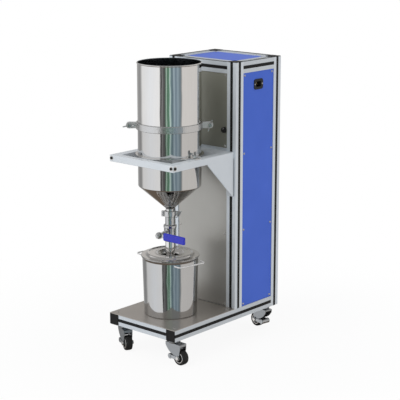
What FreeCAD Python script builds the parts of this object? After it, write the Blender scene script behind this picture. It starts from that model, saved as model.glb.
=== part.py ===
import FreeCAD, Part
import math
import os

import Sketcher
from FreeCAD import Placement, Rotation, Vector

# Slurry filtering machine: a vessel on a T-slot column over a wheeled base.
# Frame: +Z up, the vessel faces -Y, the origin on the floor under the middle of the base.

doc = FreeCAD.newDocument("slurry_filtering_machine")
sheet = doc.addObject("Spreadsheet::Sheet", "Sizes")
nodes = []


class Length:
    """A number together with the spreadsheet expression that gives it."""

    def __init__(self, value, text):
        self.value = float(value)
        self.text = text

    def __add__(self, other):
        other = as_length(other)
        return Length(self.value + other.value, f"({self.text} + {other.text})")

    def __radd__(self, other):
        return as_length(other) + self

    def __sub__(self, other):
        other = as_length(other)
        return Length(self.value - other.value, f"({self.text} - {other.text})")

    def __rsub__(self, other):
        return as_length(other) - self

    def __mul__(self, factor):
        return Length(self.value * factor, f"({self.text} * {factor})")

    def __rmul__(self, factor):
        return self * factor

    def __truediv__(self, divisor):
        return Length(self.value / divisor, f"({self.text} / {divisor})")

    def __neg__(self):
        return Length(-self.value, f"(0 - {self.text})")


def as_length(number):
    """A plain number as a Length."""
    if isinstance(number, Length):
        return number
    return Length(number, f"({float(number)})")


size_rows = []


def size(alias, number):
    """A driving dimension: one spreadsheet cell with its alias."""
    size_rows.append(alias)
    cell = f"B{len(size_rows)}"
    sheet.set(f"A{len(size_rows)}", alias)
    sheet.set(cell, str(number))
    sheet.setAlias(cell, alias)
    return Length(number, f"Sizes.{alias}")


# Driving dimensions: frame
base_width = size("base_width", 310)
base_length = size("base_length", 570)
vessel_margin = size("vessel_margin", 45)
vessel_front_room = size("vessel_front_room", 40)
vessel_rear_room = size("vessel_rear_room", 60)
vessel_radius = base_width / 2 - vessel_margin
vessel_distance = vessel_radius + vessel_front_room
column_depth = base_length - vessel_distance - vessel_radius - vessel_rear_room
column_height = size("column_height", 927)
caster_height = size("caster_height", 90)
rail = size("rail", 40)
slot = size("slot", 10)
slot_lip = size("slot_lip", 4.5)
slot_cavity = size("slot_cavity", 18)
slot_depth = size("slot_depth", 12)
slot_side = size("slot_side", 3)
rail_bore = size("rail_bore", 3.4)
strip_thickness = size("strip_thickness", 2)
strip_inset = size("strip_inset", 0.4)
cap_thickness = size("cap_thickness", 2)
mid_rail_level = size("mid_rail_level", 712)
corner_arm = size("corner_arm", 34)
corner_width = size("corner_width", 22)
corner_wall = size("corner_wall", 5)

# Driving dimensions: skins
deck_thickness = size("deck_thickness", 2)
panel_thickness = size("panel_thickness", 1.5)
panel_inset = size("panel_inset", 2)
panel_gap = size("panel_gap", 0.5)
tab_thickness = size("tab_thickness", 3)
screw_edge = size("screw_edge", 9)
screw_head = size("screw_head", 4)
screw_head_height = size("screw_head_height", 1.6)
screw_shank = size("screw_shank", 2)
screw_length = size("screw_length", 6)
deck_screw_inset = size("deck_screw_inset", 22)
fastener_play = size("fastener_play", 0.1)

# Driving dimensions: electrics
inlet_width = size("inlet_width", 50)
inlet_height = size("inlet_height", 37)
inlet_corner = size("inlet_corner", 9)
inlet_depth = size("inlet_depth", 28)
inlet_wall = size("inlet_wall", 3)
inlet_body_width = size("inlet_body_width", 32)
inlet_body_height = size("inlet_body_height", 25)
inlet_drop = size("inlet_drop", 46)
inlet_screw_pitch = size("inlet_screw_pitch", 40)
pin_length = size("pin_length", 14)
pin_pitch = size("pin_pitch", 7)
pin_rise = size("pin_rise", 2.5)
pin_height = size("pin_height", 4)
pin_width = size("pin_width", 2)
knob_radius = size("knob_radius", 11)
knob_depth = size("knob_depth", 7)
knob_level = size("knob_level", 776)
knob_edge = size("knob_edge", 13)
knob_side = base_width / 2 - rail - knob_edge
knob_shaft = size("knob_shaft", 3)
control_box = size("control_box", 24)
unit_side_room = size("unit_side_room", 40)
unit_width = base_width - rail * 2 - unit_side_room * 2
unit_height = size("unit_height", 170)
unit_margin = size("unit_margin", 12)

# Driving dimensions: bracket
bracket_margin = size("bracket_margin", 7)
bracket_width = base_width - bracket_margin * 2
bracket_setback = size("bracket_setback", 5)
bracket_level = size("bracket_level", 703)
bracket_height = size("bracket_height", 23)
bracket_side_bar = size("bracket_side_bar", 32)
bracket_front_bar = size("bracket_front_bar", 26)
bracket_rear_plate = size("bracket_rear_plate", 52)
gusset_length = size("gusset_length", 139)
gusset_drop = size("gusset_drop", 136)
gusset_thickness = size("gusset_thickness", 5)
gusset_flange = size("gusset_flange", 26)
bolt_radius = size("bolt_radius", 3)
bolt_head = size("bolt_head", 4.8)
bolt_head_height = size("bolt_head_height", 4)
bolt_inset = size("bolt_inset", 24)
corner_screw_inset = size("corner_screw_inset", 9)
corner_screw_length = size("corner_screw_length", 16)
corner_screw_head = size("corner_screw_head", 5.5)
corner_screw_rise = size("corner_screw_rise", 2.5)

# Driving dimensions: vessel
vessel_wall = size("vessel_wall", 1.5)
rim_level = size("rim_level", 1023)
rim_roll = size("rim_roll", 2)
joint_level = size("joint_level", 805)
gasket_thickness = size("gasket_thickness", 2)
hoop_step = size("hoop_step", 3)
hoop_radius = vessel_radius + hoop_step
hoop_height = size("hoop_height", 9)
cone_level = size("cone_level", 593)
neck_level = size("neck_level", 511)
neck_radius = size("neck_radius", 15)
ring_width = size("ring_width", 9)
ring_thickness = size("ring_thickness", 4)
lug_reach = size("lug_reach", 32)
lug_width = size("lug_width", 28)
ring_angle = size("ring_angle", -5)
stud_reach = size("stud_reach", 16)
stud_distance = vessel_radius + stud_reach
stud_radius = size("stud_radius", 4)
stud_rise = size("stud_rise", 22)
screen_frame = size("screen_frame", 9)
screen_height = size("screen_height", 4)
screen_plate = size("screen_plate", 1)
screen_hole = size("screen_hole", 5)
screen_pitch = size("screen_pitch", 15)
gasket_reach = size("gasket_reach", 9)

# Driving dimensions: clamps and wing nuts
clamp_angle = size("clamp_angle", 42)
clamp_height = size("clamp_height", 24)
clamp_play = size("clamp_play", 0.4)
clamp_web = size("clamp_web", 2)
clamp_lip = size("clamp_lip", 1.6)
ear_gap = size("ear_gap", 4)
ear_thickness = size("ear_thickness", 5)
ear_radius = size("ear_radius", 11)
clamp_reach = size("clamp_reach", 26)
clamp_bolt_distance = hoop_radius + clamp_reach
clamp_bolt_radius = size("clamp_bolt_radius", 4)
nut_play = size("nut_play", 0.05)
nut_seat = size("nut_seat", 0.3)
nut_hub = size("nut_hub", 7)
nut_height = size("nut_height", 9)
wing_span = size("wing_span", 21)
ring_wing_span = size("ring_wing_span", 15)
wing_rise = size("wing_rise", 16)
wing_thickness = size("wing_thickness", 3)
ferrule_radius = size("ferrule_radius", 19)
ferrule_height = size("ferrule_height", 4)
outlet_level = size("outlet_level", 491)
outlet_clamp_height = size("outlet_clamp_height", 20)
outlet_ear_radius = size("outlet_ear_radius", 7)
outlet_reach = size("outlet_reach", 12)
outlet_bolt_distance = ferrule_radius + outlet_reach
outlet_bolt_radius = size("outlet_bolt_radius", 3)
hinge_radius = size("hinge_radius", 5)
small_nut_hub = size("small_nut_hub", 5)
small_nut_height = size("small_nut_height", 7)
small_wing_span = size("small_wing_span", 15)
small_wing_rise = size("small_wing_rise", 12)

# Driving dimensions: valve and outlet pipe
valve_level = size("valve_level", 422)
valve_height = size("valve_height", 58)
valve_radius = size("valve_radius", 23)
valve_bore = size("valve_bore", 12)
ball_radius = size("ball_radius", 17)
ball_play = size("ball_play", 0.05)
pipe_radius = size("pipe_radius", 17)
pipe_wall = size("pipe_wall", 1.5)
pipe_end_level = size("pipe_end_level", 336)
bonnet_radius = size("bonnet_radius", 11)
bonnet_length = size("bonnet_length", 41)
stem_radius = size("stem_radius", 5)
lever_distance = size("lever_distance", 57)
lever_thickness = size("lever_thickness", 4)
lever_width = size("lever_width", 13)
lever_hub = size("lever_hub", 12.5)
lever_length = size("lever_length", 120)
sleeve_start = size("sleeve_start", 22)
sleeve_width = size("sleeve_width", 27)
sleeve_corner = size("sleeve_corner", 4)
sleeve_thickness = size("sleeve_thickness", 9)
lever_nut = size("lever_nut", 10.5)
lever_nut_height = size("lever_nut_height", 9)

# Driving dimensions: pot and lid
pot_height = size("pot_height", 211)
pot_wall = size("pot_wall", 1.2)
pot_rim_radius = size("pot_rim_radius", 103)
pot_lip = size("pot_lip", 4.5)
pot_draft = size("pot_draft", 5.5)
pot_radius = pot_rim_radius - pot_lip
pot_foot_radius = pot_radius - pot_draft
pot_rim_height = size("pot_rim_height", 4)
pot_angle = size("pot_angle", -10)
handle_wire = size("handle_wire", 2.5)
handle_width = size("handle_width", 112)
handle_stand = size("handle_stand", 23)
handle_reach = pot_rim_radius + handle_stand
handle_bend = size("handle_bend", 12)
handle_drop = size("handle_drop", 13)
lid_sheet = size("lid_sheet", 1.2)
lid_brim = size("lid_brim", 17)
lid_slope = size("lid_slope", 8)
lid_step_radius = pot_rim_radius - lid_brim
lid_ring_radius = lid_step_radius - lid_slope
lid_rise = size("lid_rise", 9)
lid_well = size("lid_well", 5)
lid_hole = size("lid_hole", 42)
lid_skirt = size("lid_skirt", 6)

# Driving dimensions: casters
caster_inset = size("caster_inset", 35)
caster_side = base_width / 2 - caster_inset
caster_end = size("caster_end", 38)
caster_trail = size("caster_trail", 32)
wheel_radius = size("wheel_radius", 27)
wheel_width = size("wheel_width", 24)
tyre_thickness = size("tyre_thickness", 7)
tread_chamfer = size("tread_chamfer", 3)
hub_radius = size("hub_radius", 9)
wheel_web = size("wheel_web", 8)
axle_radius = size("axle_radius", 4)
axle_play = size("axle_play", 0.05)
side_play = size("side_play", 0.3)
fork_wall = size("fork_wall", 2.5)
fork_space = size("fork_space", 27)
fork_half_length = size("fork_half_length", 28)
fork_foot = size("fork_foot", 11)
fork_reach = size("fork_reach", 10)
fork_cheek = size("fork_cheek", 9)
fork_waist = size("fork_waist", 32)
fork_waist_level = size("fork_waist_level", 38.5)
caster_plate = size("caster_plate", 50)
caster_plate_thickness = size("caster_plate_thickness", 2.5)
race_radius = size("race_radius", 21)
race_height = size("race_height", 6)
crown_thickness = size("crown_thickness", 5)
swivel_gap = size("swivel_gap", 0.3)
kingpin_radius = size("kingpin_radius", 5)
kingpin_head = size("kingpin_head", 8)
pedal_reach = size("pedal_reach", 38)
pedal_radius = size("pedal_radius", 9.5)
pedal_wall = size("pedal_wall", 2)
pedal_boss = size("pedal_boss", 9)
front_left_yaw = size("front_left_yaw", -28)
front_right_yaw = size("front_right_yaw", -3)
rear_left_yaw = size("rear_left_yaw", 177)
rear_right_yaw = size("rear_right_yaw", 170)

doc.recompute()

# Places worked out from the driving dimensions
front = -base_length / 2
base_top = caster_height + rail
deck_top = base_top + deck_thickness
column_front = front + base_length - column_depth
column_rear = front + base_length
post_top = caster_height + column_height - cap_thickness
rail_centre = (base_width - rail) / 2
inner_width = base_width - rail * 2
vessel_y = front + vessel_distance
bracket_bottom = bracket_level - bracket_height
pot_rim_level = deck_top + pot_height


# Building blocks

def named(kind, label):
    """A new object of the document whose label is a word of the real thing."""
    thing = doc.addObject(kind, label)
    thing.Label = label
    return thing


def bind(thing, name, length):
    """Tie one property to its spreadsheet expression."""
    thing.setExpression(name, as_length(length).text)


def put(thing, x=0, y=0, z=0, axis=None, angle=0):
    """Turn a thing about an axis and tie its place to the sheet."""
    if axis is not None:
        thing.Placement = Placement(Vector(), Rotation(Vector(*axis), angle))
    bind(thing, "Placement.Base.x", x)
    bind(thing, "Placement.Base.y", y)
    bind(thing, "Placement.Base.z", z)
    return thing


def box(label, length, width, height, x=0, y=0, z=0):
    """A box from its lowest corner."""
    thing = named("Part::Box", label)
    bind(thing, "Length", length)
    bind(thing, "Width", width)
    bind(thing, "Height", height)
    return put(thing, x, y, z)


def cylinder(label, radius, height, x=0, y=0, z=0, axis=None, angle=0):
    """A cylinder from the centre of its foot."""
    thing = named("Part::Cylinder", label)
    bind(thing, "Radius", radius)
    bind(thing, "Height", height)
    return put(thing, x, y, z, axis, angle)


def rod_y(label, radius, length, x=0, y=0, z=0):
    """A cylinder that runs along +Y."""
    return cylinder(label, radius, length, x, y, z, (1, 0, 0), -90)


def rod_x(label, radius, length, x=0, y=0, z=0):
    """A cylinder that runs along +X."""
    return cylinder(label, radius, length, x, y, z, (0, 1, 0), 90)


def fuse(label, parts):
    thing = named("Part::MultiFuse", label)
    thing.Shapes = parts
    return thing


def cut(label, base, tools):
    tool = tools[0] if len(tools) == 1 else fuse(label + "_tools", tools)
    thing = named("Part::Cut", label)
    thing.Base = base
    thing.Tool = tool
    return thing


def common(label, first, second):
    thing = named("Part::MultiCommon", label)
    thing.Shapes = [first, second]
    return thing


def group(label, parts):
    """Identical or paired pieces that share one node."""
    thing = named("Part::Compound", label)
    thing.Links = parts
    return thing


def node(thing):
    """Mark a finished sub-part, which is written to its own file."""
    nodes.append(thing)
    return thing


def outline(label, points, turn=None):
    """A closed sketch through points, each coordinate tied to the sheet."""
    sketch = named("Sketcher::SketchObject", label)
    if turn is not None:
        sketch.Placement = Placement(Vector(), Rotation(Vector(*turn), 90))
    draw_outline(sketch, points)
    return sketch


def draw_outline(sketch, points):
    """Lines through the points, and a distance from the origin for each coordinate."""
    places = [(as_length(x), as_length(y)) for x, y in points]
    count = len(places)
    for index in range(count):
        start = places[index]
        end = places[(index + 1) % count]
        first = Vector(start[0].value, start[1].value, 0)
        last = Vector(end[0].value, end[1].value, 0)
        sketch.addGeometry(Part.LineSegment(first, last), False)
    for index in range(count):
        sketch.addConstraint(Sketcher.Constraint("Coincident", index, 2, (index + 1) % count, 1))
    for index, place in enumerate(places):
        for kind, length in zip(("DistanceX", "DistanceY"), place):
            number = sketch.addConstraint(Sketcher.Constraint(kind, -1, 1, index, 1, length.value))
            sketch.setExpression(f"Constraints[{number}]", length.text)


def turned(label, points, angle=360):
    """A body of revolution about Z from an outline of radius and height."""
    body = named("PartDesign::Body", label)
    sketch = body.newObject("Sketcher::SketchObject", label + "_outline")
    plane = [item for item in body.Origin.OriginFeatures if item.Role == "XZ_Plane"][0]
    sketch.AttachmentSupport = [(plane, "")]
    sketch.MapMode = "FlatFace"
    draw_outline(sketch, points)
    turn = body.newObject("PartDesign::Revolution", label + "_turn")
    turn.Profile = sketch
    turn.ReferenceAxis = (sketch, ["V_Axis"])
    turn.Angle = angle
    body.Tip = turn
    return body


def plate(label, points, thickness, plane_role="XY_Plane"):
    """A flat piece padded from an outline on one of its own origin planes."""
    body = named("PartDesign::Body", label)
    sketch = body.newObject("Sketcher::SketchObject", label + "_outline")
    plane = [item for item in body.Origin.OriginFeatures if item.Role == plane_role][0]
    sketch.AttachmentSupport = [(plane, "")]
    sketch.MapMode = "FlatFace"
    draw_outline(sketch, points)
    pad = body.newObject("PartDesign::Pad", label + "_pad")
    pad.Profile = sketch
    bind(pad, "Length", thickness)
    body.Tip = pad
    return body


# Frame of T-slot profile

def profile_points():
    """The profile's outline: four sides, each with its T-shaped slot."""
    half = rail / 2
    side = [
        (half, slot / 2),
        (half - slot_lip, slot / 2),
        (half - slot_lip, slot_cavity / 2),
        (half - slot_lip - slot_side, slot_cavity / 2),
        (half - slot_depth, slot / 2),
    ]
    side = side + [(x, -y) for x, y in reversed(side)]
    side.append((half, -half))
    points = list(side)
    points += [(y, -x) for x, y in side]
    points += [(-x, -y) for x, y in side]
    points += [(-y, x) for x, y in side]
    return points


section = outline("rail_section", profile_points())
bore = section.addGeometry(Part.Circle(Vector(0, 0, 0), Vector(0, 0, 1), rail_bore.value), False)
section.addConstraint(Sketcher.Constraint("Coincident", bore, 3, -1, 1))
bore_size = section.addConstraint(Sketcher.Constraint("Radius", bore, rail_bore.value))
section.setExpression(f"Constraints[{bore_size}]", rail_bore.text)

turns = {"x": ((0, 1, 0), 90), "y": ((1, 0, 0), -90), "z": (None, 0)}


def rail_piece(label, length, along, x, y, z):
    """A length of profile from the centre of its first end."""
    thing = named("Part::Extrusion", label)
    thing.Base = section
    thing.DirMode = "Custom"
    thing.Dir = Vector(0, 0, 1)
    thing.Solid = True
    bind(thing, "LengthFwd", length)
    axis, angle = turns[along]
    return put(thing, x, y, z, axis, angle)


sides = {"left": -1, "right": 1}
base_level = caster_height + rail / 2
side_rail_length = base_length - cap_thickness - rail
post_y = {"front": column_front + rail / 2, "rear": column_rear - rail / 2}


def make_frame():
    inner_start = -inner_width / 2
    rail_start = front + cap_thickness
    node(group("base_side_rails", [
        rail_piece(f"base_side_rail_{name}", side_rail_length, "y", rail_centre * sign, rail_start,
                   base_level)
        for name, sign in sides.items()
    ]))
    node(rail_piece("base_front_rail", inner_width, "x", inner_start, rail_start + rail / 2, base_level))
    node(group("base_inner_rails", [
        rail_piece(f"base_inner_rail_{name}", inner_width, "x", inner_start, y, base_level)
        for name, y in post_y.items()
    ]))
    feet = {"front": base_top, "rear": caster_height}
    for place, foot in feet.items():
        node(group(f"{place}_posts", [
            rail_piece(f"{place}_post_{name}", post_top - foot, "z", rail_centre * sign, post_y[place],
                       foot)
            for name, sign in sides.items()
        ]))
    top_level = post_top - rail / 2
    top_side_length = column_depth - rail * 2
    top_rails = [
        rail_piece(f"top_rail_{name}", top_side_length, "y", rail_centre * sign, column_front + rail,
                   top_level)
        for name, sign in sides.items()
    ]
    top_rails += [
        rail_piece(f"top_rail_{name}", inner_width, "x", inner_start, y, top_level)
        for name, y in post_y.items()
    ]
    node(group("top_rails", top_rails))
    mid_level = mid_rail_level - rail / 2
    node(rail_piece("column_mid_rail", inner_width, "x", inner_start, post_y["front"], mid_level))


def strip(label, along, facing, length, x, y, z):
    """A black cover strip pressed into a slot, from the start of the slot's centre line on the face."""
    width = {"x": slot, "y": slot, "z": slot}
    width[along] = length
    width[facing[1]] = strip_thickness
    start = {"x": x, "y": y, "z": z}
    for name in "xyz":
        if name != along and name != facing[1]:
            start[name] = as_length(start[name]) - slot / 2
    inward = strip_inset
    if facing[0] == "+":
        inward = -strip_inset - strip_thickness
    start[facing[1]] = as_length(start[facing[1]]) + inward
    return box(label, width["x"], width["y"], width["z"], start["x"], start["y"], start["z"])


def make_strips():
    half = base_width / 2
    rail_start = front + cap_thickness
    inner_start = -inner_width / 2
    gusset_foot = bracket_bottom - gusset_drop
    top_level = post_top - rail / 2
    strips = []
    for name, sign in sides.items():
        facing = ("+" if sign > 0 else "-") + "x"
        x = half * sign
        strips.append(strip(f"strip_base_{name}", "y", facing, side_rail_length, x, rail_start, base_level))
        strips.append(strip(f"strip_front_post_{name}_side", "z", facing, post_top - base_top, x,
                            post_y["front"], base_top))
        strips.append(strip(f"strip_rear_post_{name}_side", "z", facing, post_top - caster_height, x,
                            post_y["rear"], caster_height))
        strips.append(strip(f"strip_top_{name}", "y", facing, column_depth - rail * 2, x,
                            column_front + rail, top_level))
        strips.append(strip(f"strip_front_post_{name}_low", "z", "-y", gusset_foot - base_top,
                            rail_centre * sign, column_front, base_top))
        strips.append(strip(f"strip_front_post_{name}_high", "z", "-y", post_top - bracket_level,
                            rail_centre * sign, column_front, bracket_level))
        strips.append(strip(f"strip_rear_post_{name}_back", "z", "+y", post_top - caster_height,
                            rail_centre * sign, column_rear, caster_height))
    strips.append(strip("strip_base_front", "x", "-y", inner_width, inner_start, rail_start, base_level))
    strips.append(strip("strip_base_rear", "x", "+y", inner_width, inner_start, column_rear, base_level))
    strips.append(strip("strip_top_front", "x", "-y", inner_width, inner_start, column_front, top_level))
    strips.append(strip("strip_top_rear", "x", "+y", inner_width, inner_start, column_rear, top_level))
    node(group("slot_strips", strips))


def make_caps():
    caps = []
    for name, sign in sides.items():
        x = rail_centre * sign - rail / 2
        caps.append(box(f"rail_cap_{name}", rail, cap_thickness, rail, x, front, caster_height))
        for place, y in post_y.items():
            caps.append(box(f"post_cap_{place}_{name}", rail, rail, cap_thickness, x, y - rail / 2,
                            post_top))
    node(group("end_caps", caps))


def make_corner_brackets():
    """Cast angle brackets in the inner corners of the column's top and of the base."""
    arm = corner_arm.value
    wall = corner_wall.value
    corners = [(0, 0), (arm, 0), (arm, wall), (wall, arm), (0, arm)]
    side = -corner_width.value / 2
    wire = Part.makePolygon([Vector(x, side, z) for x, z in corners + corners[:1]])
    master = Part.Face(wire).extrude(Vector(0, corner_width.value, 0))
    pieces = []

    def copy_at(turn, x, y, z):
        piece = master.copy()
        piece.Placement = Placement(Vector(x, y, z), turn)
        pieces.append(piece)

    upside = Rotation(Vector(1, 0, 0), 180)
    under_top = (post_top - rail).value
    inner = (inner_width / 2).value
    for sign in sides.values():
        inward = Rotation(Vector(0, 0, 1), 90 + 90 * sign)
        for y in post_y.values():
            copy_at(inward * upside, inner * sign, y.value, under_top)
            copy_at(inward, inner * sign, y.value, base_top.value)
        along_y = ((column_front + rail).value, 90), ((column_rear - rail).value, -90)
        for y, angle in along_y:
            turn = Rotation(Vector(0, 0, 1), angle)
            copy_at(turn * upside, rail_centre.value * sign, y, under_top)
            copy_at(turn, rail_centre.value * sign, y, base_top.value)
    thing = named("Part::Feature", "corner_brackets")
    thing.Shape = Part.makeCompound(pieces)
    node(thing)


# Skins: deck, panels and what holds them

def screw_shape():
    """A button-head screw along -Z, with the underside of its head at the origin."""
    head = Part.makeCylinder(screw_head.value, screw_head_height.value)
    edges = [edge for edge in head.Edges if edge.BoundBox.ZMin > screw_head_height.value / 2]
    head = head.makeFillet(screw_head_height.value * 0.8, [edges[0]])
    shank = Part.makeCylinder(screw_shank.value, screw_length.value, Vector(0, 0, -screw_length.value))
    return head.fuse(shank).removeSplitter()


def facing_turn(facing):
    """The turn that takes +Z to the way a face looks."""
    return Rotation(Vector(0, 0, 1), Vector(*facing))


screw_places = []
tab_places = []


def panel(label, facing, low, high, screws, openings=(), tabs=True):
    """A flat panel between two corners, with a hole, a screw and a tab behind it at each screw place."""
    facing_vector = Vector(*facing)
    size_of = [high[i] - low[i] for i in range(3)]
    sheet_box = box(label + "_sheet", size_of[0], size_of[1], size_of[2], low[0], low[1], low[2])
    holes = []
    turn = facing_turn(facing)
    for index, place in enumerate(screws):
        hole = cylinder(f"{label}_hole_{index}", screw_shank + fastener_play,
                        panel_thickness * 4 + deck_thickness)
        hole.Placement = Placement(Vector(), turn)
        for name, axis, length in zip("xyz", facing, place):
            bind(hole, f"Placement.Base.{name}", as_length(length) - (panel_thickness * 2) * axis)
        holes.append(hole)
        spot = Vector(*[as_length(length).value for length in place])
        screw_places.append((spot, turn))
        if tabs:
            tab_places.append((spot - facing_vector * panel_thickness.value, turn))
    return cut(label, sheet_box, holes + list(openings))


def knob_hole():
    """The hole in the upper front panel that the knob's shaft passes through."""
    return rod_y("knob_hole", knob_shaft + swivel_gap, panel_thickness * 4, knob_side,
                 column_front + panel_inset - panel_thickness, knob_level)


def make_panels():
    wide = inner_width / 2 - panel_gap
    screw_x = inner_width / 2 - screw_edge
    roof = post_top - rail
    outer_y = column_front + panel_inset
    inner_y = outer_y + panel_thickness

    deck_screws = [
        (rail_centre * sign, y, deck_top)
        for sign in sides.values()
        for y in (front + deck_screw_inset, column_front - deck_screw_inset)
    ]
    node(panel("deck_plate", (0, 0, 1), (-base_width / 2, front, base_top),
               (base_width / 2, column_front, deck_top), deck_screws, tabs=False))

    def front_screws(levels):
        return [(screw_x * sign, outer_y, level) for sign in sides.values() for level in levels]

    upper_low = mid_rail_level + panel_gap
    upper_high = roof - panel_gap
    node(panel("front_panel_upper", (0, -1, 0), (-wide, outer_y, upper_low), (wide, inner_y, upper_high),
               front_screws((mid_rail_level + screw_edge, roof - screw_edge)), [knob_hole()]))
    lower_low = deck_top + panel_gap
    lower_high = mid_rail_level - rail - panel_gap
    lower_levels = (lower_low + screw_edge, (lower_low + lower_high) / 2,
                    mid_rail_level - rail - screw_edge)
    node(panel("front_panel_lower", (0, -1, 0), (-wide, outer_y, lower_low), (wide, inner_y, lower_high),
               front_screws(lower_levels)))

    side_low = base_top + panel_gap
    side_high = roof - panel_gap
    span = roof - base_top - screw_edge * 2
    levels = [base_top + screw_edge + span * (step / 3) for step in range(4)]
    near = column_front + rail + panel_gap
    far = column_rear - rail - panel_gap
    screw_ys = (column_front + rail + screw_edge, column_rear - rail - screw_edge)
    panels = []
    for name, sign in sides.items():
        outer = (base_width / 2 - panel_inset) * sign
        inner = (base_width / 2 - panel_inset - panel_thickness) * sign
        low_x, high_x = (inner, outer) if sign > 0 else (outer, inner)
        screws = [(outer, y, level) for y in screw_ys for level in levels]
        openings = [inlet_opening()] if sign > 0 else []
        panels.append(panel(f"side_panel_{name}", (sign, 0, 0), (low_x, near, side_low),
                            (high_x, far, side_high), screws, openings))
    node(group("side_panels", panels))

    rear_outer = column_rear - panel_inset
    rear_screws = [(screw_x * sign, rear_outer, level) for sign in sides.values() for level in levels]
    node(panel("rear_panel", (0, 1, 0), (-wide, rear_outer - panel_thickness, side_low),
               (wide, rear_outer, side_high), rear_screws))
    lid_level = post_top - panel_inset
    top_screws = [
        (screw_x * sign, y, lid_level)
        for sign in sides.values() for y in screw_ys
    ]
    node(panel("top_panel", (0, 0, 1), (-wide, near, lid_level - panel_thickness), (wide, far, lid_level),
               top_screws))


def make_screws_and_tabs():
    screw = screw_shape()
    screws = []
    for spot, turn in screw_places:
        piece = screw.copy()
        piece.Placement = Placement(spot, turn)
        screws.append(piece)
    thing = named("Part::Feature", "panel_screws")
    thing.Shape = Part.makeCompound(screws)
    node(thing)
    half = screw_edge.value
    tab = Part.makeBox(half * 2, half * 2, tab_thickness.value, Vector(-half, -half, -tab_thickness.value))
    hole_radius = screw_shank.value + fastener_play.value / 2
    tab = tab.cut(Part.makeCylinder(hole_radius, half * 2, Vector(0, 0, -half)))
    tabs = []
    for spot, turn in tab_places:
        piece = tab.copy()
        piece.Placement = Placement(spot, turn)
        tabs.append(piece)
    thing = named("Part::Feature", "panel_tabs")
    thing.Shape = Part.makeCompound(tabs)
    node(thing)


# Electrics

panel_face = base_width / 2 - panel_inset
inlet_y = (column_front + column_rear) / 2
inlet_level = post_top - rail - inlet_drop


def inlet_opening():
    """The cut-out in the right side panel that the inlet's body passes through."""
    return box("inlet_opening", panel_thickness * 4, inlet_body_width + panel_gap,
               inlet_body_height + panel_gap,
               panel_face - panel_thickness * 2, inlet_y - inlet_body_width / 2 - panel_gap / 2,
               inlet_level - inlet_body_height / 2 - panel_gap / 2)


def make_inlet():
    near, far = inlet_y - inlet_width / 2, inlet_y + inlet_width / 2
    low, high = inlet_level - inlet_height / 2, inlet_level + inlet_height / 2
    flange = plate("inlet_flange", [
        (near + inlet_corner, low),
        (far - inlet_corner, low),
        (far, low + inlet_corner),
        (far, high - inlet_corner),
        (far - inlet_corner, high),
        (near + inlet_corner, high),
        (near, high - inlet_corner),
        (near, low + inlet_corner),
    ], panel_inset, "YZ_Plane")
    put(flange, panel_face, 0, 0)
    body = box("inlet_body", inlet_depth, inlet_body_width, inlet_body_height, panel_face - inlet_depth,
               inlet_y - inlet_body_width / 2, inlet_level - inlet_body_height / 2)
    well = box("inlet_well", inlet_depth, inlet_body_width - inlet_wall * 2,
               inlet_body_height - inlet_wall * 2,
               panel_face - inlet_depth + inlet_wall * 2, inlet_y - inlet_body_width / 2 + inlet_wall,
               inlet_level - inlet_body_height / 2 + inlet_wall)
    holes = [
        rod_x(f"inlet_hole_{name}", screw_shank - fastener_play * 2, inlet_depth,
              panel_face - inlet_depth / 2,
              inlet_y + inlet_screw_pitch / 2 * sign, inlet_level)
        for name, sign in sides.items()
    ]
    node(cut("power_inlet", fuse("inlet_housing", [flange, body]), [well] + holes))
    pins = [
        box(f"inlet_pin_{index}", pin_length, pin_width, pin_height,
            panel_face - inlet_depth + inlet_wall * 2,
            inlet_y - pin_width / 2 + pin_pitch * step, inlet_level - pin_height / 2 + pin_rise * rise)
        for index, (step, rise) in enumerate(((-1, -1), (0, 1), (1, -1)))
    ]
    node(group("inlet_pins", pins))


def make_power_unit():
    """The plain supply box on the base inside the column, and the control behind the knob."""
    low = column_front + panel_inset + panel_thickness + unit_margin
    high = column_rear - panel_inset - panel_thickness - unit_margin
    supply = box("supply_box", unit_width, high - low, unit_height, -unit_width / 2, low, base_top)
    back = column_front + panel_inset + panel_thickness
    half = control_box / 2
    control = box("knob_control_box", control_box, half, control_box, knob_side - half, back,
                  knob_level - half)
    bush = rod_y("knob_control_bore", knob_shaft + nut_play, control_box, knob_side, back - 1, knob_level)
    node(group("power_unit", [supply, cut("knob_control", control, [bush])]))


def make_knob():
    """A round knob whose shaft runs through the upper front panel into its control."""
    face = column_front + panel_inset
    knob = rod_y("knob_grip", knob_radius, knob_depth, 0, -knob_depth - panel_gap, 0)
    shaft = rod_y("knob_shaft_rod", knob_shaft, panel_thickness + control_box / 2 + knob_depth, 0,
                  -knob_depth, 0)
    marker = box("knob_marker", 1.2, 1, knob_radius - 2, -0.6, -knob_depth - panel_gap - 0.5, 2)
    turning = fuse("control_knob", [knob, shaft, marker])
    node(put(turning, knob_side, face, knob_level))


# Bracket that carries the vessel

bracket_front = front + bracket_setback


def stud_place(sign):
    """Where a stud of the vessel's ring stands."""
    angle = math.radians(ring_angle.value)
    return stud_distance * (math.cos(angle) * sign), vessel_y + stud_distance * (math.sin(angle) * sign)


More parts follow.
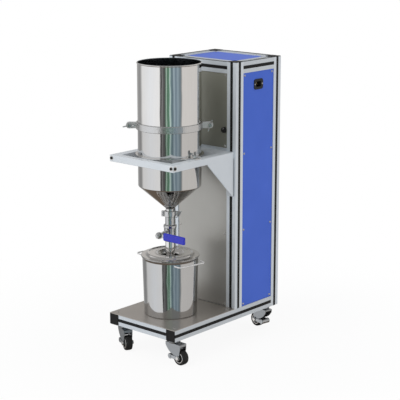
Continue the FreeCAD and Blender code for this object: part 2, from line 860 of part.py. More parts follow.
def make_bracket():
    half = bracket_width / 2
    depth = column_front - bracket_front
    plate_box = box("bracket_plate", bracket_width, depth, bracket_height, -half, bracket_front,
                    bracket_bottom)
    opening = box("bracket_opening", bracket_width - bracket_side_bar * 2,
                  depth - bracket_front_bar - bracket_rear_plate, bracket_height * 3,
                  -half + bracket_side_bar, bracket_front + bracket_front_bar, bracket_bottom - bracket_height)
    parts = [plate_box]
    foot = bracket_bottom - gusset_drop
    overlap = bracket_height / 2
    for name, sign in sides.items():
        gusset = plate(f"gusset_{name}", [
            (column_front, foot),
            (column_front, bracket_bottom + overlap),
            (column_front - gusset_length, bracket_bottom + overlap),
            (column_front - gusset_length, bracket_bottom - 2),
            (column_front - gusset_thickness, foot),
        ], gusset_thickness, "YZ_Plane")
        inner = half - gusset_thickness
        put(gusset, inner if sign > 0 else -half)
        parts.append(gusset)
        start = (half - gusset_thickness - gusset_flange) if sign > 0 else -half
        parts.append(box(f"gusset_flange_{name}", gusset_flange + gusset_thickness, gusset_thickness,
                         gusset_drop + overlap, start, column_front - gusset_thickness, foot))
    holes = [opening]
    for name, sign in sides.items():
        x, y = stud_place(sign)
        holes.append(cylinder(f"stud_hole_{name}", stud_radius + fastener_play, bracket_height * 2, x, y,
                              bracket_bottom - overlap))
        for level_name, level in bolt_levels().items():
            holes.append(rod_y(f"bolt_hole_{name}_{level_name}", bolt_radius + fastener_play,
                               gusset_thickness * 3,
                               rail_centre * sign, column_front - gusset_thickness * 2, level))
        holes.append(rod_y(f"corner_hole_front_{name}", bolt_radius + fastener_play,
                           corner_screw_length + 2,
                           (half - corner_screw_inset) * sign, bracket_front - 1, bracket_bottom + overlap - 3))
        start = (half + 1) * sign if sign < 0 else half - corner_screw_length - 1
        holes.append(rod_x(f"corner_hole_side_{name}", bolt_radius + fastener_play,
                           corner_screw_length + 2, start,
                           bracket_front + corner_screw_inset, bracket_bottom + overlap + 4.5))
    frame = fuse("bracket_welded", parts)
    node(cut("support_bracket", frame, holes))


def bolt_levels():
    foot = bracket_bottom - gusset_drop
    return {"low": foot + bolt_inset, "high": bracket_bottom - bolt_inset}


def make_bracket_bolts():
    bolts = []
    reach = gusset_thickness + strip_thickness + 3
    for name, sign in sides.items():
        x = rail_centre * sign
        for level_name, level in bolt_levels().items():
            bolts.append(fuse(f"bracket_bolt_{name}_{level_name}", [
                rod_y(f"bolt_head_{name}_{level_name}", bolt_head, bolt_head_height, x,
                      column_front - gusset_thickness - bolt_head_height, level),
                rod_y(f"bolt_shank_{name}_{level_name}", bolt_radius, reach, x,
                      column_front - gusset_thickness, level),
            ]))
        x = (bracket_width / 2 - corner_screw_inset) * sign
        level = bracket_bottom + bracket_height / 2 - 3
        bolts.append(fuse(f"corner_screw_front_{name}", [
            rod_y(f"corner_shank_front_{name}", bolt_radius, corner_screw_length, x, bracket_front, level),
            rod_y(f"corner_head_front_{name}", corner_screw_head, corner_screw_rise, x,
                  bracket_front - corner_screw_rise, level),
        ]))
        face = bracket_width / 2 * sign
        inward = face if sign < 0 else face - corner_screw_length
        outward = face - corner_screw_rise if sign < 0 else face
        y = bracket_front + corner_screw_inset
        level = bracket_bottom + bracket_height / 2 + 4.5
        bolts.append(fuse(f"corner_screw_side_{name}", [
            rod_x(f"corner_shank_side_{name}", bolt_radius, corner_screw_length, inward, y, level),
            rod_x(f"corner_head_side_{name}", corner_screw_head, corner_screw_rise, outward, y, level),
        ]))
        x, y = stud_place(sign)
        shank = cylinder(f"ring_stud_shank_{name}", stud_radius,
                         bracket_height + ring_thickness + stud_rise,
                         x, y, bracket_bottom)
        head = cylinder(f"ring_stud_head_{name}", stud_radius * 1.7, stud_radius * 1.3, x, y,
                        bracket_bottom - stud_radius * 1.3)
        bolts.append(fuse(f"ring_stud_{name}", [shank, head]))
    node(group("bracket_bolts", bolts))


# Wing nuts

def wing_nut(label, bolt, hub, height, span, rise, x, y, z, turn):
    """A wing nut that seats on the origin's plane and opens along +Z before it is placed."""
    body = turned(label + "_hub", [
        (bolt + nut_play, 0),
        (hub, 0),
        (hub, height * 0.3),
        (hub - 1.5, height),
        (bolt + nut_play, height),
    ])
    wings = []
    for name, sign in sides.items():
        wing = plate(f"{label}_wing_{name}", [
            ((bolt + 1.5) * sign, height * 0.2),
            (hub * sign, height * 0.15),
            (span * 0.8 * sign, rise * 0.45),
            (span * sign, rise * 0.75),
            (span * 0.9 * sign, rise),
            (span * 0.62 * sign, rise * 0.95),
            ((bolt + 1.5) * sign, height * 0.8),
        ], wing_thickness, "XZ_Plane")
        put(wing, 0, wing_thickness / 2, 0)
        wings.append(wing)
    nut = fuse(label, [body] + wings)
    nut.Placement = Placement(Vector(), turn)
    bind(nut, "Placement.Base.x", x)
    bind(nut, "Placement.Base.y", y)
    bind(nut, "Placement.Base.z", z)
    return node(nut)


# Vessel

def make_lower_vessel():
    top = joint_level - gasket_thickness / 2
    inner = vessel_radius - vessel_wall
    node(put(turned("lower_vessel", [
        (hoop_radius, top),
        (hoop_radius, top - hoop_height),
        (vessel_radius, top - hoop_height),
        (vessel_radius, cone_level),
        (neck_radius, neck_level),
        (neck_radius, outlet_level + ferrule_height * 1.6),
        (ferrule_radius, outlet_level + ferrule_height),
        (ferrule_radius, outlet_level),
        (neck_radius - vessel_wall, outlet_level),
        (neck_radius - vessel_wall, neck_level + vessel_wall / 2),
        (inner, cone_level + vessel_wall / 2),
        (inner, top),
    ]), 0, vessel_y, 0))


def make_upper_vessel():
    bottom = joint_level + gasket_thickness / 2
    inner = vessel_radius - vessel_wall
    node(put(turned("upper_vessel", [
        (hoop_radius, bottom),
        (hoop_radius, bottom + hoop_height),
        (vessel_radius, bottom + hoop_height),
        (vessel_radius, rim_level - rim_roll * 2),
        (vessel_radius + rim_roll * 0.8, rim_level - rim_roll * 1.5),
        (vessel_radius + rim_roll, rim_level - rim_roll * 0.75),
        (vessel_radius + rim_roll * 0.5, rim_level),
        (inner, rim_level),
        (inner, bottom),
    ]), 0, vessel_y, 0))


def make_gasket_and_screen():
    inner = vessel_radius - vessel_wall
    low = joint_level - gasket_thickness / 2
    high = joint_level + gasket_thickness / 2
    node(put(turned("vessel_gasket", [
        (inner - gasket_reach, low),
        (hoop_radius, low),
        (hoop_radius, high),
        (inner - gasket_reach, high),
    ]), 0, vessel_y, 0))
    rim = inner - side_play
    disc = turned("screen_disc", [
        (0, high),
        (rim, high),
        (rim, high + screen_height),
        (rim - screen_frame, high + screen_height),
        (rim - screen_frame, high + screen_plate),
        (0, high + screen_plate),
    ])
    pitch = screen_pitch.value
    rings = math.floor((rim - screen_frame - screen_hole).value / pitch)
    holes = []
    for ring in range(rings + 1):
        count = max(1, 6 * ring)
        for step in range(count):
            angle = 2 * math.pi * step / count
            holes.append(cylinder(f"screen_hole_{ring}_{step}", screen_hole, screen_height * 2,
                                  screen_pitch * ring * math.cos(angle), screen_pitch * ring * math.sin(angle),
                                  high - screen_height / 2))
    node(put(cut("filter_screen", disc, holes), 0, vessel_y, 0))


def make_support_ring():
    outer = vessel_radius + ring_width
    ring = cylinder("ring_disc", outer, ring_thickness)
    lug = box("ring_lugs", (vessel_radius + lug_reach) * 2, lug_width, ring_thickness,
              -vessel_radius - lug_reach, -lug_width / 2, 0)
    tools = [cylinder("ring_bore", vessel_radius, ring_thickness * 3, 0, 0, -ring_thickness)]
    for name, sign in sides.items():
        tools.append(cylinder(f"ring_stud_hole_{name}", stud_radius + fastener_play, ring_thickness * 3,
                              stud_distance * sign, 0, -ring_thickness))
    ring = cut("support_ring", fuse("ring_with_lugs", [ring, lug]), tools)
    node(put(ring, 0, vessel_y, bracket_level, (0, 0, 1), ring_angle.value))
    seat = bracket_level + ring_thickness + nut_seat
    for name, sign in sides.items():
        x, y = stud_place(sign)
        wing_nut(f"ring_nut_{name}", stud_radius, nut_hub, nut_height, ring_wing_span, wing_rise, x, y,
                 seat,
                 Rotation(Vector(0, 0, 1), 35))


# Clamps: local X runs through both ears, local -Y looks to the front

def place_clamp(thing, level):
    """Put a clamp piece on the vessel's axis at its level, turned so that its ears lie as on the real one."""
    return put(thing, 0, vessel_y, level, (0, 0, 1), clamp_angle.value)


def clamp_half(label, sign, hoop, hoop_half, band_half, bolt_distance, bolt, ear, ear_names):
    """Half of a channel clamp: a band with two lips, and an ear at each named end."""
    web_inner = hoop + clamp_play
    web_outer = web_inner + clamp_web
    lip_inner = hoop - clamp_web
    lip_level = band_half - clamp_lip
    profile = outline(label + "_profile", [
        (web_outer, -band_half),
        (web_outer, band_half),
        (lip_inner, band_half),
        (lip_inner, lip_level),
        (web_inner, lip_level),
        (web_inner, -lip_level),
        (lip_inner, -lip_level),
        (lip_inner, -band_half),
    ], (1, 0, 0))
    opening = math.degrees(math.asin((ear_gap / 2).value / web_inner.value))
    band = named("Part::Revolution", label + "_band")
    band.Source = profile
    band.Axis = Vector(0, 0, 1)
    band.Base = Vector(0, 0, 0)
    band.Angle = 180 - 2 * opening
    band.Solid = True
    band.Placement = Placement(Vector(), Rotation(Vector(0, 0, 1), opening if sign > 0 else 180 + opening))
    parts = [band]
    holes = []
    low = ear_gap / 2 if sign > 0 else -ear_gap / 2 - ear_thickness
    for name in ear_names:
        side = sides[name]
        reach = bolt_distance - web_inner - clamp_web / 2
        start = (web_inner + clamp_web / 2) if side > 0 else -bolt_distance
        parts.append(box(f"{label}_ear_{name}", reach, ear_thickness, ear * 2, start, low, -ear))
        parts.append(rod_y(f"{label}_ear_end_{name}", ear, ear_thickness, bolt_distance * side, low, 0))
        holes.append(rod_y(f"{label}_ear_hole_{name}", bolt + fastener_play, ear_thickness * 3,
                           bolt_distance * side, low - ear_thickness, 0))
    return cut(label, fuse(label + "_blank", parts), holes)


def clamp_bolt(label, side, distance, bolt, height, level):
    """A bolt with its head behind the rear ear and its thread standing out of the front ear."""
    rear = ear_gap / 2 + ear_thickness
    shank = rod_y(label + "_shank", bolt, rear * 2 + height + nut_seat + 3, distance * side,
                  -rear - height - nut_seat - 3, 0)
    head = rod_y(label + "_head", bolt * 1.7, bolt * 1.3, distance * side, rear, 0)
    return place_clamp(fuse(label, [shank, head]), level)


def nut_place(side, distance):
    """Where a clamp's wing nut seats on its front ear, and the turn that points it to the front."""
    angle = math.radians(clamp_angle.value)
    x = distance * side
    y = -ear_gap / 2 - ear_thickness - nut_seat
    place_x = x * math.cos(angle) - y * math.sin(angle)
    place_y = x * math.sin(angle) + y * math.cos(angle)
    turn = Rotation(Vector(0, 0, 1), clamp_angle.value) * Rotation(Vector(1, 0, 0), 90)
    return place_x, vessel_y + place_y, turn


def make_vessel_clamp():
    both = ("left", "right")
    for name, sign in (("front", -1), ("rear", 1)):
        half = clamp_half(f"clamp_{name}_half", sign, hoop_radius, hoop_height, clamp_height / 2,
                          clamp_bolt_distance, clamp_bolt_radius, ear_radius, both)
        node(place_clamp(half, joint_level))
    bolts = [
        clamp_bolt(f"clamp_bolt_{name}", sign, clamp_bolt_distance, clamp_bolt_radius, nut_height,
                   joint_level)
        for name, sign in sides.items()
    ]
    bolts.append(clamp_bolt("outlet_clamp_bolt", 1, outlet_bolt_distance, outlet_bolt_radius,
                            small_nut_height,
                            outlet_level))
    node(group("clamp_bolts", bolts))
    wings_turn = {"left": 8, "right": 70}
    for name, sign in sides.items():
        x, y, turn = nut_place(sign, clamp_bolt_distance)
        turn = turn * Rotation(Vector(0, 0, 1), wings_turn[name])
        wing_nut(f"clamp_nut_{name}", clamp_bolt_radius, nut_hub, nut_height, wing_span, wing_rise,
                 x, y, joint_level, turn)


def make_outlet_clamp():
    halves = []
    for name, sign in (("front", -1), ("rear", 1)):
        half = clamp_half(f"outlet_clamp_{name}", sign, ferrule_radius, ferrule_height,
                          outlet_clamp_height / 2, outlet_bolt_distance, outlet_bolt_radius,
                          outlet_ear_radius, ("right",))
        hinge_x = -ferrule_radius - clamp_play - clamp_web - hinge_radius * 0.8
        barrel = cylinder(f"outlet_barrel_{name}", hinge_radius if sign > 0 else hinge_radius + swivel_gap,
                          outlet_clamp_height, hinge_x, 0, -outlet_clamp_height / 2)
        if sign > 0:
            half = fuse("outlet_clamp_rear_hinged", [half, barrel])
        else:
            half = cut("outlet_clamp_front_hinged", half, [barrel])
        halves.append(place_clamp(half, outlet_level))
    node(group("outlet_clamp", halves))
    x, y, turn = nut_place(1, outlet_bolt_distance)
    turn = turn * Rotation(Vector(0, 0, 1), 55)
    wing_nut("outlet_nut", outlet_bolt_radius, small_nut_hub, small_nut_height, small_wing_span,
             small_wing_rise, x, y, outlet_level, turn)


# Ball valve, its lever, and the outlet pipe

def make_valve():
    top = outlet_level
    high = valve_level + valve_height / 2
    low = valve_level - valve_height / 2
    shell = turned("valve_shell", [
        (valve_bore, top),
        (ferrule_radius, top),
        (ferrule_radius, top - ferrule_height),
        (pipe_radius, top - ferrule_height * 1.6),
        (pipe_radius, high),
        (valve_radius - 2, high),
        (valve_radius, high - 2),
        (valve_radius, low + 2),
        (valve_radius - 2, low),
        (valve_bore, low),
    ])
    bonnet = rod_y("valve_bonnet", bonnet_radius, bonnet_length, 0, -bonnet_length, valve_level)
    bonnet_bored = cut("valve_bonnet_open", fuse("valve_casting", [shell, bonnet]), [
        cylinder("valve_waterway", valve_bore, valve_height, 0, 0, low),
        named_sphere("valve_chamber", ball_radius + ball_play, valve_level),
        rod_y("valve_stem_hole", stem_radius + ball_play, bonnet_length + 1, 0, -bonnet_length - 1,
              valve_level),
    ])
    bonnet_bored.Label = "valve_body"
    node(put(bonnet_bored, 0, vessel_y, 0))

    ball = named_sphere("ball", ball_radius, valve_level)
    stem_length = lever_distance + lever_thickness / 2 + lever_nut_height + 2
    stem = rod_y("stem", stem_radius, stem_length - ball_radius / 2, 0, -stem_length, valve_level)
    waterway = rod_x("ball_waterway", valve_bore, ball_radius * 3, ball_radius * -1.5, 0, valve_level)
    turning = fuse("valve_ball_and_stem", [cut("bored_ball", ball, [waterway]), stem])
    clear = cut("valve_ball", turning, [
        rod_x("stem_trim", valve_bore, ball_radius * 3, ball_radius * -1.5, 0, valve_level),
    ])
    node(put(clear, 0, vessel_y, 0))

    pipe_outer = cylinder("pipe_outer", pipe_radius, low - pipe_end_level, 0, 0, pipe_end_level)
    pipe_inner = cylinder("pipe_inner", pipe_radius - pipe_wall, valve_level, 0, 0, pipe_end_level - 1)
    node(put(cut("outlet_pipe", pipe_outer, [pipe_inner]), 0, vessel_y, 0))


def named_sphere(label, radius, level):
    thing = named("Part::Sphere", label)
    bind(thing, "Radius", radius)
    return put(thing, 0, 0, level)


def make_lever():
    """The flat lever with its blue sleeve and nut, on the stem in front of the valve."""
    near = -lever_distance - lever_thickness / 2
    hub = rod_y("lever_hub_disc", lever_hub, lever_thickness, 0, near, valve_level)
    arm = box("lever_arm", lever_length - 3, lever_thickness, lever_width, 0, near,
              valve_level - lever_width / 2)
    hole = rod_y("lever_hole", stem_radius, lever_thickness * 3, 0, near - lever_thickness, valve_level)
    node(put(cut("valve_lever", fuse("lever_blank", [hub, arm]), [hole]), 0, vessel_y, 0))

    low = valve_level - sleeve_width / 2
    high = valve_level + sleeve_width / 2
    blank = plate("sleeve_blank", [
        (sleeve_start + sleeve_corner, low),
        (lever_length - sleeve_corner, low),
        (lever_length, low + sleeve_corner),
        (lever_length, high - sleeve_corner),
        (lever_length - sleeve_corner, high),
        (sleeve_start + sleeve_corner, high),
        (sleeve_start, high - sleeve_corner),
        (sleeve_start, low + sleeve_corner),
    ], sleeve_thickness, "XZ_Plane")
    put(blank, 0, sleeve_thickness / 2 - lever_distance, 0)
    pocket = box("sleeve_pocket", lever_length - 3, lever_thickness, lever_width, 0, near,
                 valve_level - lever_width / 2)
    node(put(cut("lever_sleeve", blank, [pocket]), 0, vessel_y, 0))

    hexagon = named("Part::Prism", "lever_nut_hexagon")
    hexagon.Polygon = 6
    bind(hexagon, "Circumradius", lever_nut)
    bind(hexagon, "Height", lever_nut_height)
    put(hexagon, 0, near, valve_level, (1, 0, 0), 90)
    hole = rod_y("lever_nut_hole", stem_radius, lever_nut_height * 3, 0, near - lever_nut_height * 2,
                 valve_level)
    node(put(cut("lever_nut", hexagon, [hole]), 0, vessel_y, 0))


# Pot, handles and lid

def make_pot():
    rim = pot_rim_level
    shoulder = rim - pot_rim_height * 2
    node(put(turned("pot", [
        (0, deck_top),
        (pot_foot_radius - 3, deck_top),
        (pot_foot_radius, deck_top + 3),
        (pot_radius, shoulder),
        (pot_rim_radius - 1, rim - pot_rim_height),
        (pot_rim_radius, rim - pot_rim_height / 2),
        (pot_rim_radius - 1, rim),
        (pot_radius - pot_wall, rim),
        (pot_radius - pot_wall, shoulder),
        (pot_foot_radius - pot_wall, deck_top + 4),
        (pot_foot_radius - 4, deck_top + pot_wall),
        (0, deck_top + pot_wall),
    ]), 0, vessel_y, 0))


def make_pot_handles():
    """Two loops of round wire whose ends meet the pot's wall."""
    level = pot_rim_level - handle_drop
    half = (handle_width / 2).value
    reach = handle_reach.value
    bend = handle_bend.value
    start = pot_radius.value * 0.7
    inset = bend * (1 - math.cos(math.pi / 4))
    near = Vector(reach - inset, -half + inset, 0)
    far = Vector(reach - inset, half - inset, 0)
    path = Part.Wire([
        Part.LineSegment(Vector(start, -half, 0), Vector(reach - bend, -half, 0)).toShape(),
        Part.Arc(Vector(reach - bend, -half, 0), near, Vector(reach, -half + bend, 0)).toShape(),
        Part.LineSegment(Vector(reach, -half + bend, 0), Vector(reach, half - bend, 0)).toShape(),
        Part.Arc(Vector(reach, half - bend, 0), far, Vector(reach - bend, half, 0)).toShape(),
        Part.LineSegment(Vector(reach - bend, half, 0), Vector(start, half, 0)).toShape(),
    ])
    circle = Part.Wire([Part.makeCircle(handle_wire.value, Vector(start, -half, 0), Vector(1, 0, 0))])
    wire = path.makePipeShell([circle], True, False)
    wall = Part.makeCylinder(pot_radius.value, handle_wire.value * 4, Vector(0, 0, -handle_wire.value * 2))
    loop = wire.cut(wall)
    loops = []
    for angle in (pot_angle.value, pot_angle.value + 180):
        piece = loop.copy()
        piece.rotate(Vector(0, 0, 0), Vector(0, 0, 1), angle)
        loops.append(piece)
    thing = named("Part::Feature", "pot_handles")
    thing.Shape = Part.makeCompound(loops)
    node(put(thing, 0, vessel_y, level))


def make_lid():
    rim = pot_rim_level
    seat = rim + lid_sheet
    skirt = pot_radius - pot_wall - side_play
    crest = seat + lid_rise
    well = seat + lid_well
    node(put(turned("pot_lid", [
        (pot_rim_radius - 1, rim),
        (pot_rim_radius - 1, seat),
        (lid_step_radius, seat),
        (lid_ring_radius + 4, crest),
        (lid_ring_radius, crest),
        (lid_ring_radius - 4, well),
        (lid_hole + lid_sheet, well),
        (lid_hole + lid_sheet, well + 3),
        (lid_hole, well + 3),
        (lid_hole, well - lid_sheet),
        (lid_ring_radius - 3.4, well - lid_sheet),
        (lid_ring_radius + 0.6, crest - lid_sheet),
        (lid_ring_radius + 3.4, crest - lid_sheet),
        (lid_step_radius - 0.6, rim),
        (skirt - lid_sheet, rim),
        (skirt - lid_sheet, rim - lid_skirt),
        (skirt, rim - lid_skirt),
        (skirt, rim),
    ]), 0, vessel_y, 0))


# Casters: each is built with its swivel axis on Z and its wheel trailing along +X

crown_top = caster_height - caster_plate_thickness - race_height - swivel_gap
crown_bottom = crown_top - race_height - crown_thickness
casters = {
    "front_left": (-1, front + caster_end, front_left_yaw),
    "front_right": (1, front + caster_end, front_right_yaw),
    "rear_left": (-1, column_rear - caster_end, rear_left_yaw),
    "rear_right": (1, column_rear - caster_end, rear_right_yaw),
}


def place_caster(thing, name):
    sign, y, yaw = casters[name]
    return put(thing, caster_side * sign, y, 0, (0, 0, 1), yaw.value)


def caster_mount(name):
    """The plate screwed under the base, with the upper race and the kingpin."""
    sign, y, yaw = casters[name]
    plate_bottom = caster_height - caster_plate_thickness
    parts = [
        box(f"{name}_plate_square", caster_plate, caster_plate, caster_plate_thickness,
            -caster_plate / 2, -caster_plate / 2, plate_bottom),
        cylinder(f"{name}_upper_race", race_radius, race_height, 0, 0, plate_bottom - race_height),
        cylinder(f"{name}_kingpin", kingpin_radius, plate_bottom - crown_bottom + swivel_gap, 0, 0,
                 crown_bottom - swivel_gap),
        cylinder(f"{name}_kingpin_head", kingpin_head, 3, 0, 0, crown_bottom - swivel_gap - 3),
    ]
    return put(fuse(f"{name}_caster_mount", parts), caster_side * sign, y, 0)


def make_fork(name):
    """A pressed fork with the lower race on its crown, and the axle bolt through its legs."""
    width = fork_space + fork_wall * 2
    top = crown_top - race_height
    reach = caster_trail + fork_reach
    outside = box(f"{name}_fork_outside", fork_half_length * 2 + caster_trail, width, top,
                  -fork_half_length, -width / 2, 0)
    side_view = plate(f"{name}_fork_side_view", [
        (-fork_half_length, top),
        (-fork_half_length, top - fork_cheek),
        (caster_trail - fork_waist - fork_foot * 1.5, fork_waist_level + fork_foot),
        (caster_trail - fork_waist, fork_waist_level),
        (caster_trail - fork_foot, wheel_radius),
        (caster_trail - fork_foot * 0.7, wheel_radius - fork_foot * 0.7),
        (caster_trail, wheel_radius - fork_foot),
        (caster_trail + fork_foot * 0.7, wheel_radius - fork_foot * 0.7),
        (caster_trail + fork_foot, wheel_radius),
        (reach, crown_bottom),
        (reach, top),
    ], width, "XZ_Plane")
    put(side_view, 0, width / 2, 0)
    inside = box(f"{name}_fork_inside", (fork_half_length + caster_trail) * 3, fork_space,
                 top - crown_thickness, (fork_half_length + caster_trail) * -1.5, -fork_space / 2, 0)
    race = cylinder(f"{name}_lower_race", race_radius, race_height, 0, 0, top)
    shape = common(f"{name}_fork_blank", outside, side_view)
    holes = [
        inside,
        cylinder(f"{name}_kingpin_hole", kingpin_radius + axle_play, caster_height, 0, 0, crown_bottom - 1),
        rod_y(f"{name}_axle_hole", axle_radius, width * 2, caster_trail, -width, wheel_radius),
    ]
    fork = cut(f"{name}_fork_legs", fuse(f"{name}_fork_solid", [shape, race]), holes)
    axle_reach = width / 2 + pedal_wall + swivel_gap * 2
    axle = fuse(f"{name}_axle", [
        rod_y(f"{name}_axle_rod", axle_radius, axle_reach * 2, caster_trail, -axle_reach, wheel_radius),
        rod_y(f"{name}_axle_head", axle_radius * 1.6, 3, caster_trail, -axle_reach - 3, wheel_radius),
        rod_y(f"{name}_axle_nut", axle_radius * 1.6, 3, caster_trail, axle_reach, wheel_radius),
    ])
    node(place_caster(group(f"{name}_fork", [fork, axle]), name))


def make_wheel(name):
    """A wheel with its hub, web and rim in one piece, inside a tyre."""
    bore = axle_radius + axle_play
    hub_half = fork_space / 2 - side_play
    half = wheel_width / 2
    rim = wheel_radius - tyre_thickness
    hub = turned(f"{name}_wheel_core", [
        (bore, -hub_half),
        (hub_radius, -hub_half),
        (hub_radius, -wheel_web / 2),
        (rim - 2.5, -wheel_web / 2),
        (rim - 2.5, -half + 1),
        (rim, -half + 1),
        (rim, half - 1),
        (rim - 2.5, half - 1),
        (rim - 2.5, wheel_web / 2),
        (hub_radius, wheel_web / 2),
        (hub_radius, hub_half),
        (bore, hub_half),
    ])
    tyre = turned(f"{name}_tyre", [
        (rim, -half + 1),
        (rim + 1, -half),
        (wheel_radius - tread_chamfer, -half),
        (wheel_radius - tread_chamfer * 0.3, -half + tread_chamfer * 0.6),
        (wheel_radius, -half / 3),
        (wheel_radius, half / 3),
        (wheel_radius - tread_chamfer * 0.3, half - tread_chamfer * 0.6),
        (wheel_radius - tread_chamfer, half),
        (rim + 1, half),
        (rim, half - 1),
    ])
    wheel = group(f"{name}_wheel_upright", [hub, tyre])
    put(wheel, caster_trail, 0, wheel_radius, (1, 0, 0), 90)
    node(place_caster(group(f"{name}_wheel", [wheel]), name))


def make_pedal(name):
    """The brake pedal: two arms on the axle's ends and a round foot in front of the wheel."""
    width = fork_space + fork_wall * 2 + swivel_gap * 2
    outer = width + pedal_wall * 2
    foot_x = caster_trail - pedal_reach
    blank = fuse(f"{name}_pedal_blank", [
        rod_y(f"{name}_pedal_boss", pedal_boss, outer, caster_trail, -outer / 2, wheel_radius),
        box(f"{name}_pedal_arms", pedal_reach, outer, pedal_radius * 1.5, foot_x, -outer / 2,
            wheel_radius - pedal_radius * 0.75),
        rod_y(f"{name}_pedal_foot", pedal_radius, outer, foot_x, -outer / 2, wheel_radius),
    ])
    room = box(f"{name}_pedal_room", pedal_reach * 2, width, caster_height, foot_x + pedal_radius * 0.75,
               -width / 2, 0)
    bore = rod_y(f"{name}_pedal_bore", axle_radius + axle_play, outer * 2, caster_trail, -outer,
                 wheel_radius)
    node(place_caster(cut(f"{name}_pedal", blank, [room, bore]), name))


def make_casters():
    node(group("caster_mounts", [caster_mount(name) for name in casters]))
    for name in casters:
        make_fork(name)
        make_wheel(name)
        make_pedal(name)


def check(things):
    """Stop with a message when any feature failed or any sub-part is not a sound solid."""
    for thing in doc.Objects:
        if "Invalid" in thing.State or "Error" in thing.State:
            raise RuntimeError(f"{thing.Label} failed: {thing.State}")
    for thing in things:
        shape = thing.Shape
        if shape.isNull() or not shape.isValid() or not shape.Solids:
            raise RuntimeError(f"{thing.Label} is not a sound solid")


def write(things):
    os.makedirs("parts", exist_ok=True)
    for thing in things:
        thing.Shape.exportStep(f"parts/{thing.Label}.step")


make_frame()
make_strips()
make_caps()
make_corner_brackets()
make_panels()
make_screws_and_tabs()
make_inlet()
make_power_unit()
make_knob()
make_bracket()
make_bracket_bolts()
make_support_ring()
make_lower_vessel()
make_upper_vessel()
make_gasket_and_screen()
make_vessel_clamp()
make_outlet_clamp()
make_valve()
make_lever()
make_pot()
make_pot_handles()
make_lid()
make_casters()
doc.recompute()
check(nodes)
write(nodes)
print(len(nodes), "nodes written")
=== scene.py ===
from math import cos, degrees, hypot, pi, radians, sin

import bmesh
import bpy
from mathutils import Matrix, Vector


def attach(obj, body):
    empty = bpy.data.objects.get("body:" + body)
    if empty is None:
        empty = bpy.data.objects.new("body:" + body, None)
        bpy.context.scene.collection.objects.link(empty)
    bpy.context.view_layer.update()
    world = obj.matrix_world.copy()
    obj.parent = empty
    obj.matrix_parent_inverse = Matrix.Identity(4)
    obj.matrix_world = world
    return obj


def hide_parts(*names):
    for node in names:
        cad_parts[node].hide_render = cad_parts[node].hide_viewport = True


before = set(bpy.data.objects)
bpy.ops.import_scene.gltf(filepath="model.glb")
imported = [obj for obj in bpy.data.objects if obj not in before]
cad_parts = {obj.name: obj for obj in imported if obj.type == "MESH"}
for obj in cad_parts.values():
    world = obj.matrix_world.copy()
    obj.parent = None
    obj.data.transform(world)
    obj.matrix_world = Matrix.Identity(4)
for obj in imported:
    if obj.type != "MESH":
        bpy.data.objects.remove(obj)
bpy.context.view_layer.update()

scene = bpy.context.scene


# Studio: a white floor under soft even light, with the dark and pale screens that polished steel shows.
# The screens are only seen in reflections, and the camera sees plain white.

class Wire:
    """One output of a node, so that shader sums read as plain expressions."""

    def __init__(self, nodes, socket):
        self.nodes = nodes
        self.socket = socket

    def sum(self, operation, first, second):
        return self.nodes.add("ShaderNodeMath", {"operation": operation}, {0: first, 1: second})

    def __add__(self, other):
        return self.sum("ADD", self, other)

    def __mul__(self, other):
        return self.sum("MULTIPLY", self, other)

    def __sub__(self, other):
        return self.sum("SUBTRACT", self, other)

    def __rsub__(self, other):
        return self.sum("SUBTRACT", other, self)

    def __truediv__(self, other):
        return self.sum("DIVIDE", self, other)

    __radd__ = __add__
    __rmul__ = __mul__


class Nodes:
    """The nodes of one shader."""

    def __init__(self, tree):
        self.tree = tree

    def add(self, kind, settings=None, sockets=None, output=0):
        made = self.tree.nodes.new(kind)
        for name, value in (settings or {}).items():
            if name == "stops":
                self.set_stops(made.color_ramp.elements, value)
            else:
                setattr(made, name, value)
        for name, value in (sockets or {}).items():
            self.feed(made.inputs[name], value)
        return Wire(self, made.outputs[output]) if made.outputs else None

    def set_stops(self, elements, stops):
        elements[0].position = stops[0][0]
        elements[1].position = stops[-1][0]
        for place, _ in stops[1:-1]:
            elements.new(place)
        for element, (place, colour) in zip(elements, stops):
            element.color = (*colour, 1)

    def feed(self, socket, value):
        if isinstance(value, Wire):
            self.tree.links.new(value.socket, socket)
        elif socket.type == "RGBA":
            socket.default_value = (*value, 1)
        else:
            socket.default_value = value

    def mix(self, factor, first, second):
        return self.add("ShaderNodeMix", {"data_type": "RGBA"}, {0: factor, 6: first, 7: second}, 2)

    def between(self, value, low, high, start=0.0, end=1.0):
        return self.add("ShaderNodeMapRange", {"interpolation_type": "SMOOTHSTEP"}, {
            "Value": value, "From Min": low, "From Max": high, "To Min": start, "To Max": end})

    def noise(self, scale, stretch=(1, 1, 1), detail=2):
        place = self.add("ShaderNodeTexCoord", output="Object")
        place = self.add("ShaderNodeVectorMath", {"operation": "MULTIPLY"}, {0: place, 1: stretch})
        return self.add("ShaderNodeTexNoise", None, {"Vector": place, "Scale": scale, "Detail": detail})


def grey(level, warmth=0.0):
    return (level * (1 + warmth), level, level * (1 - warmth))


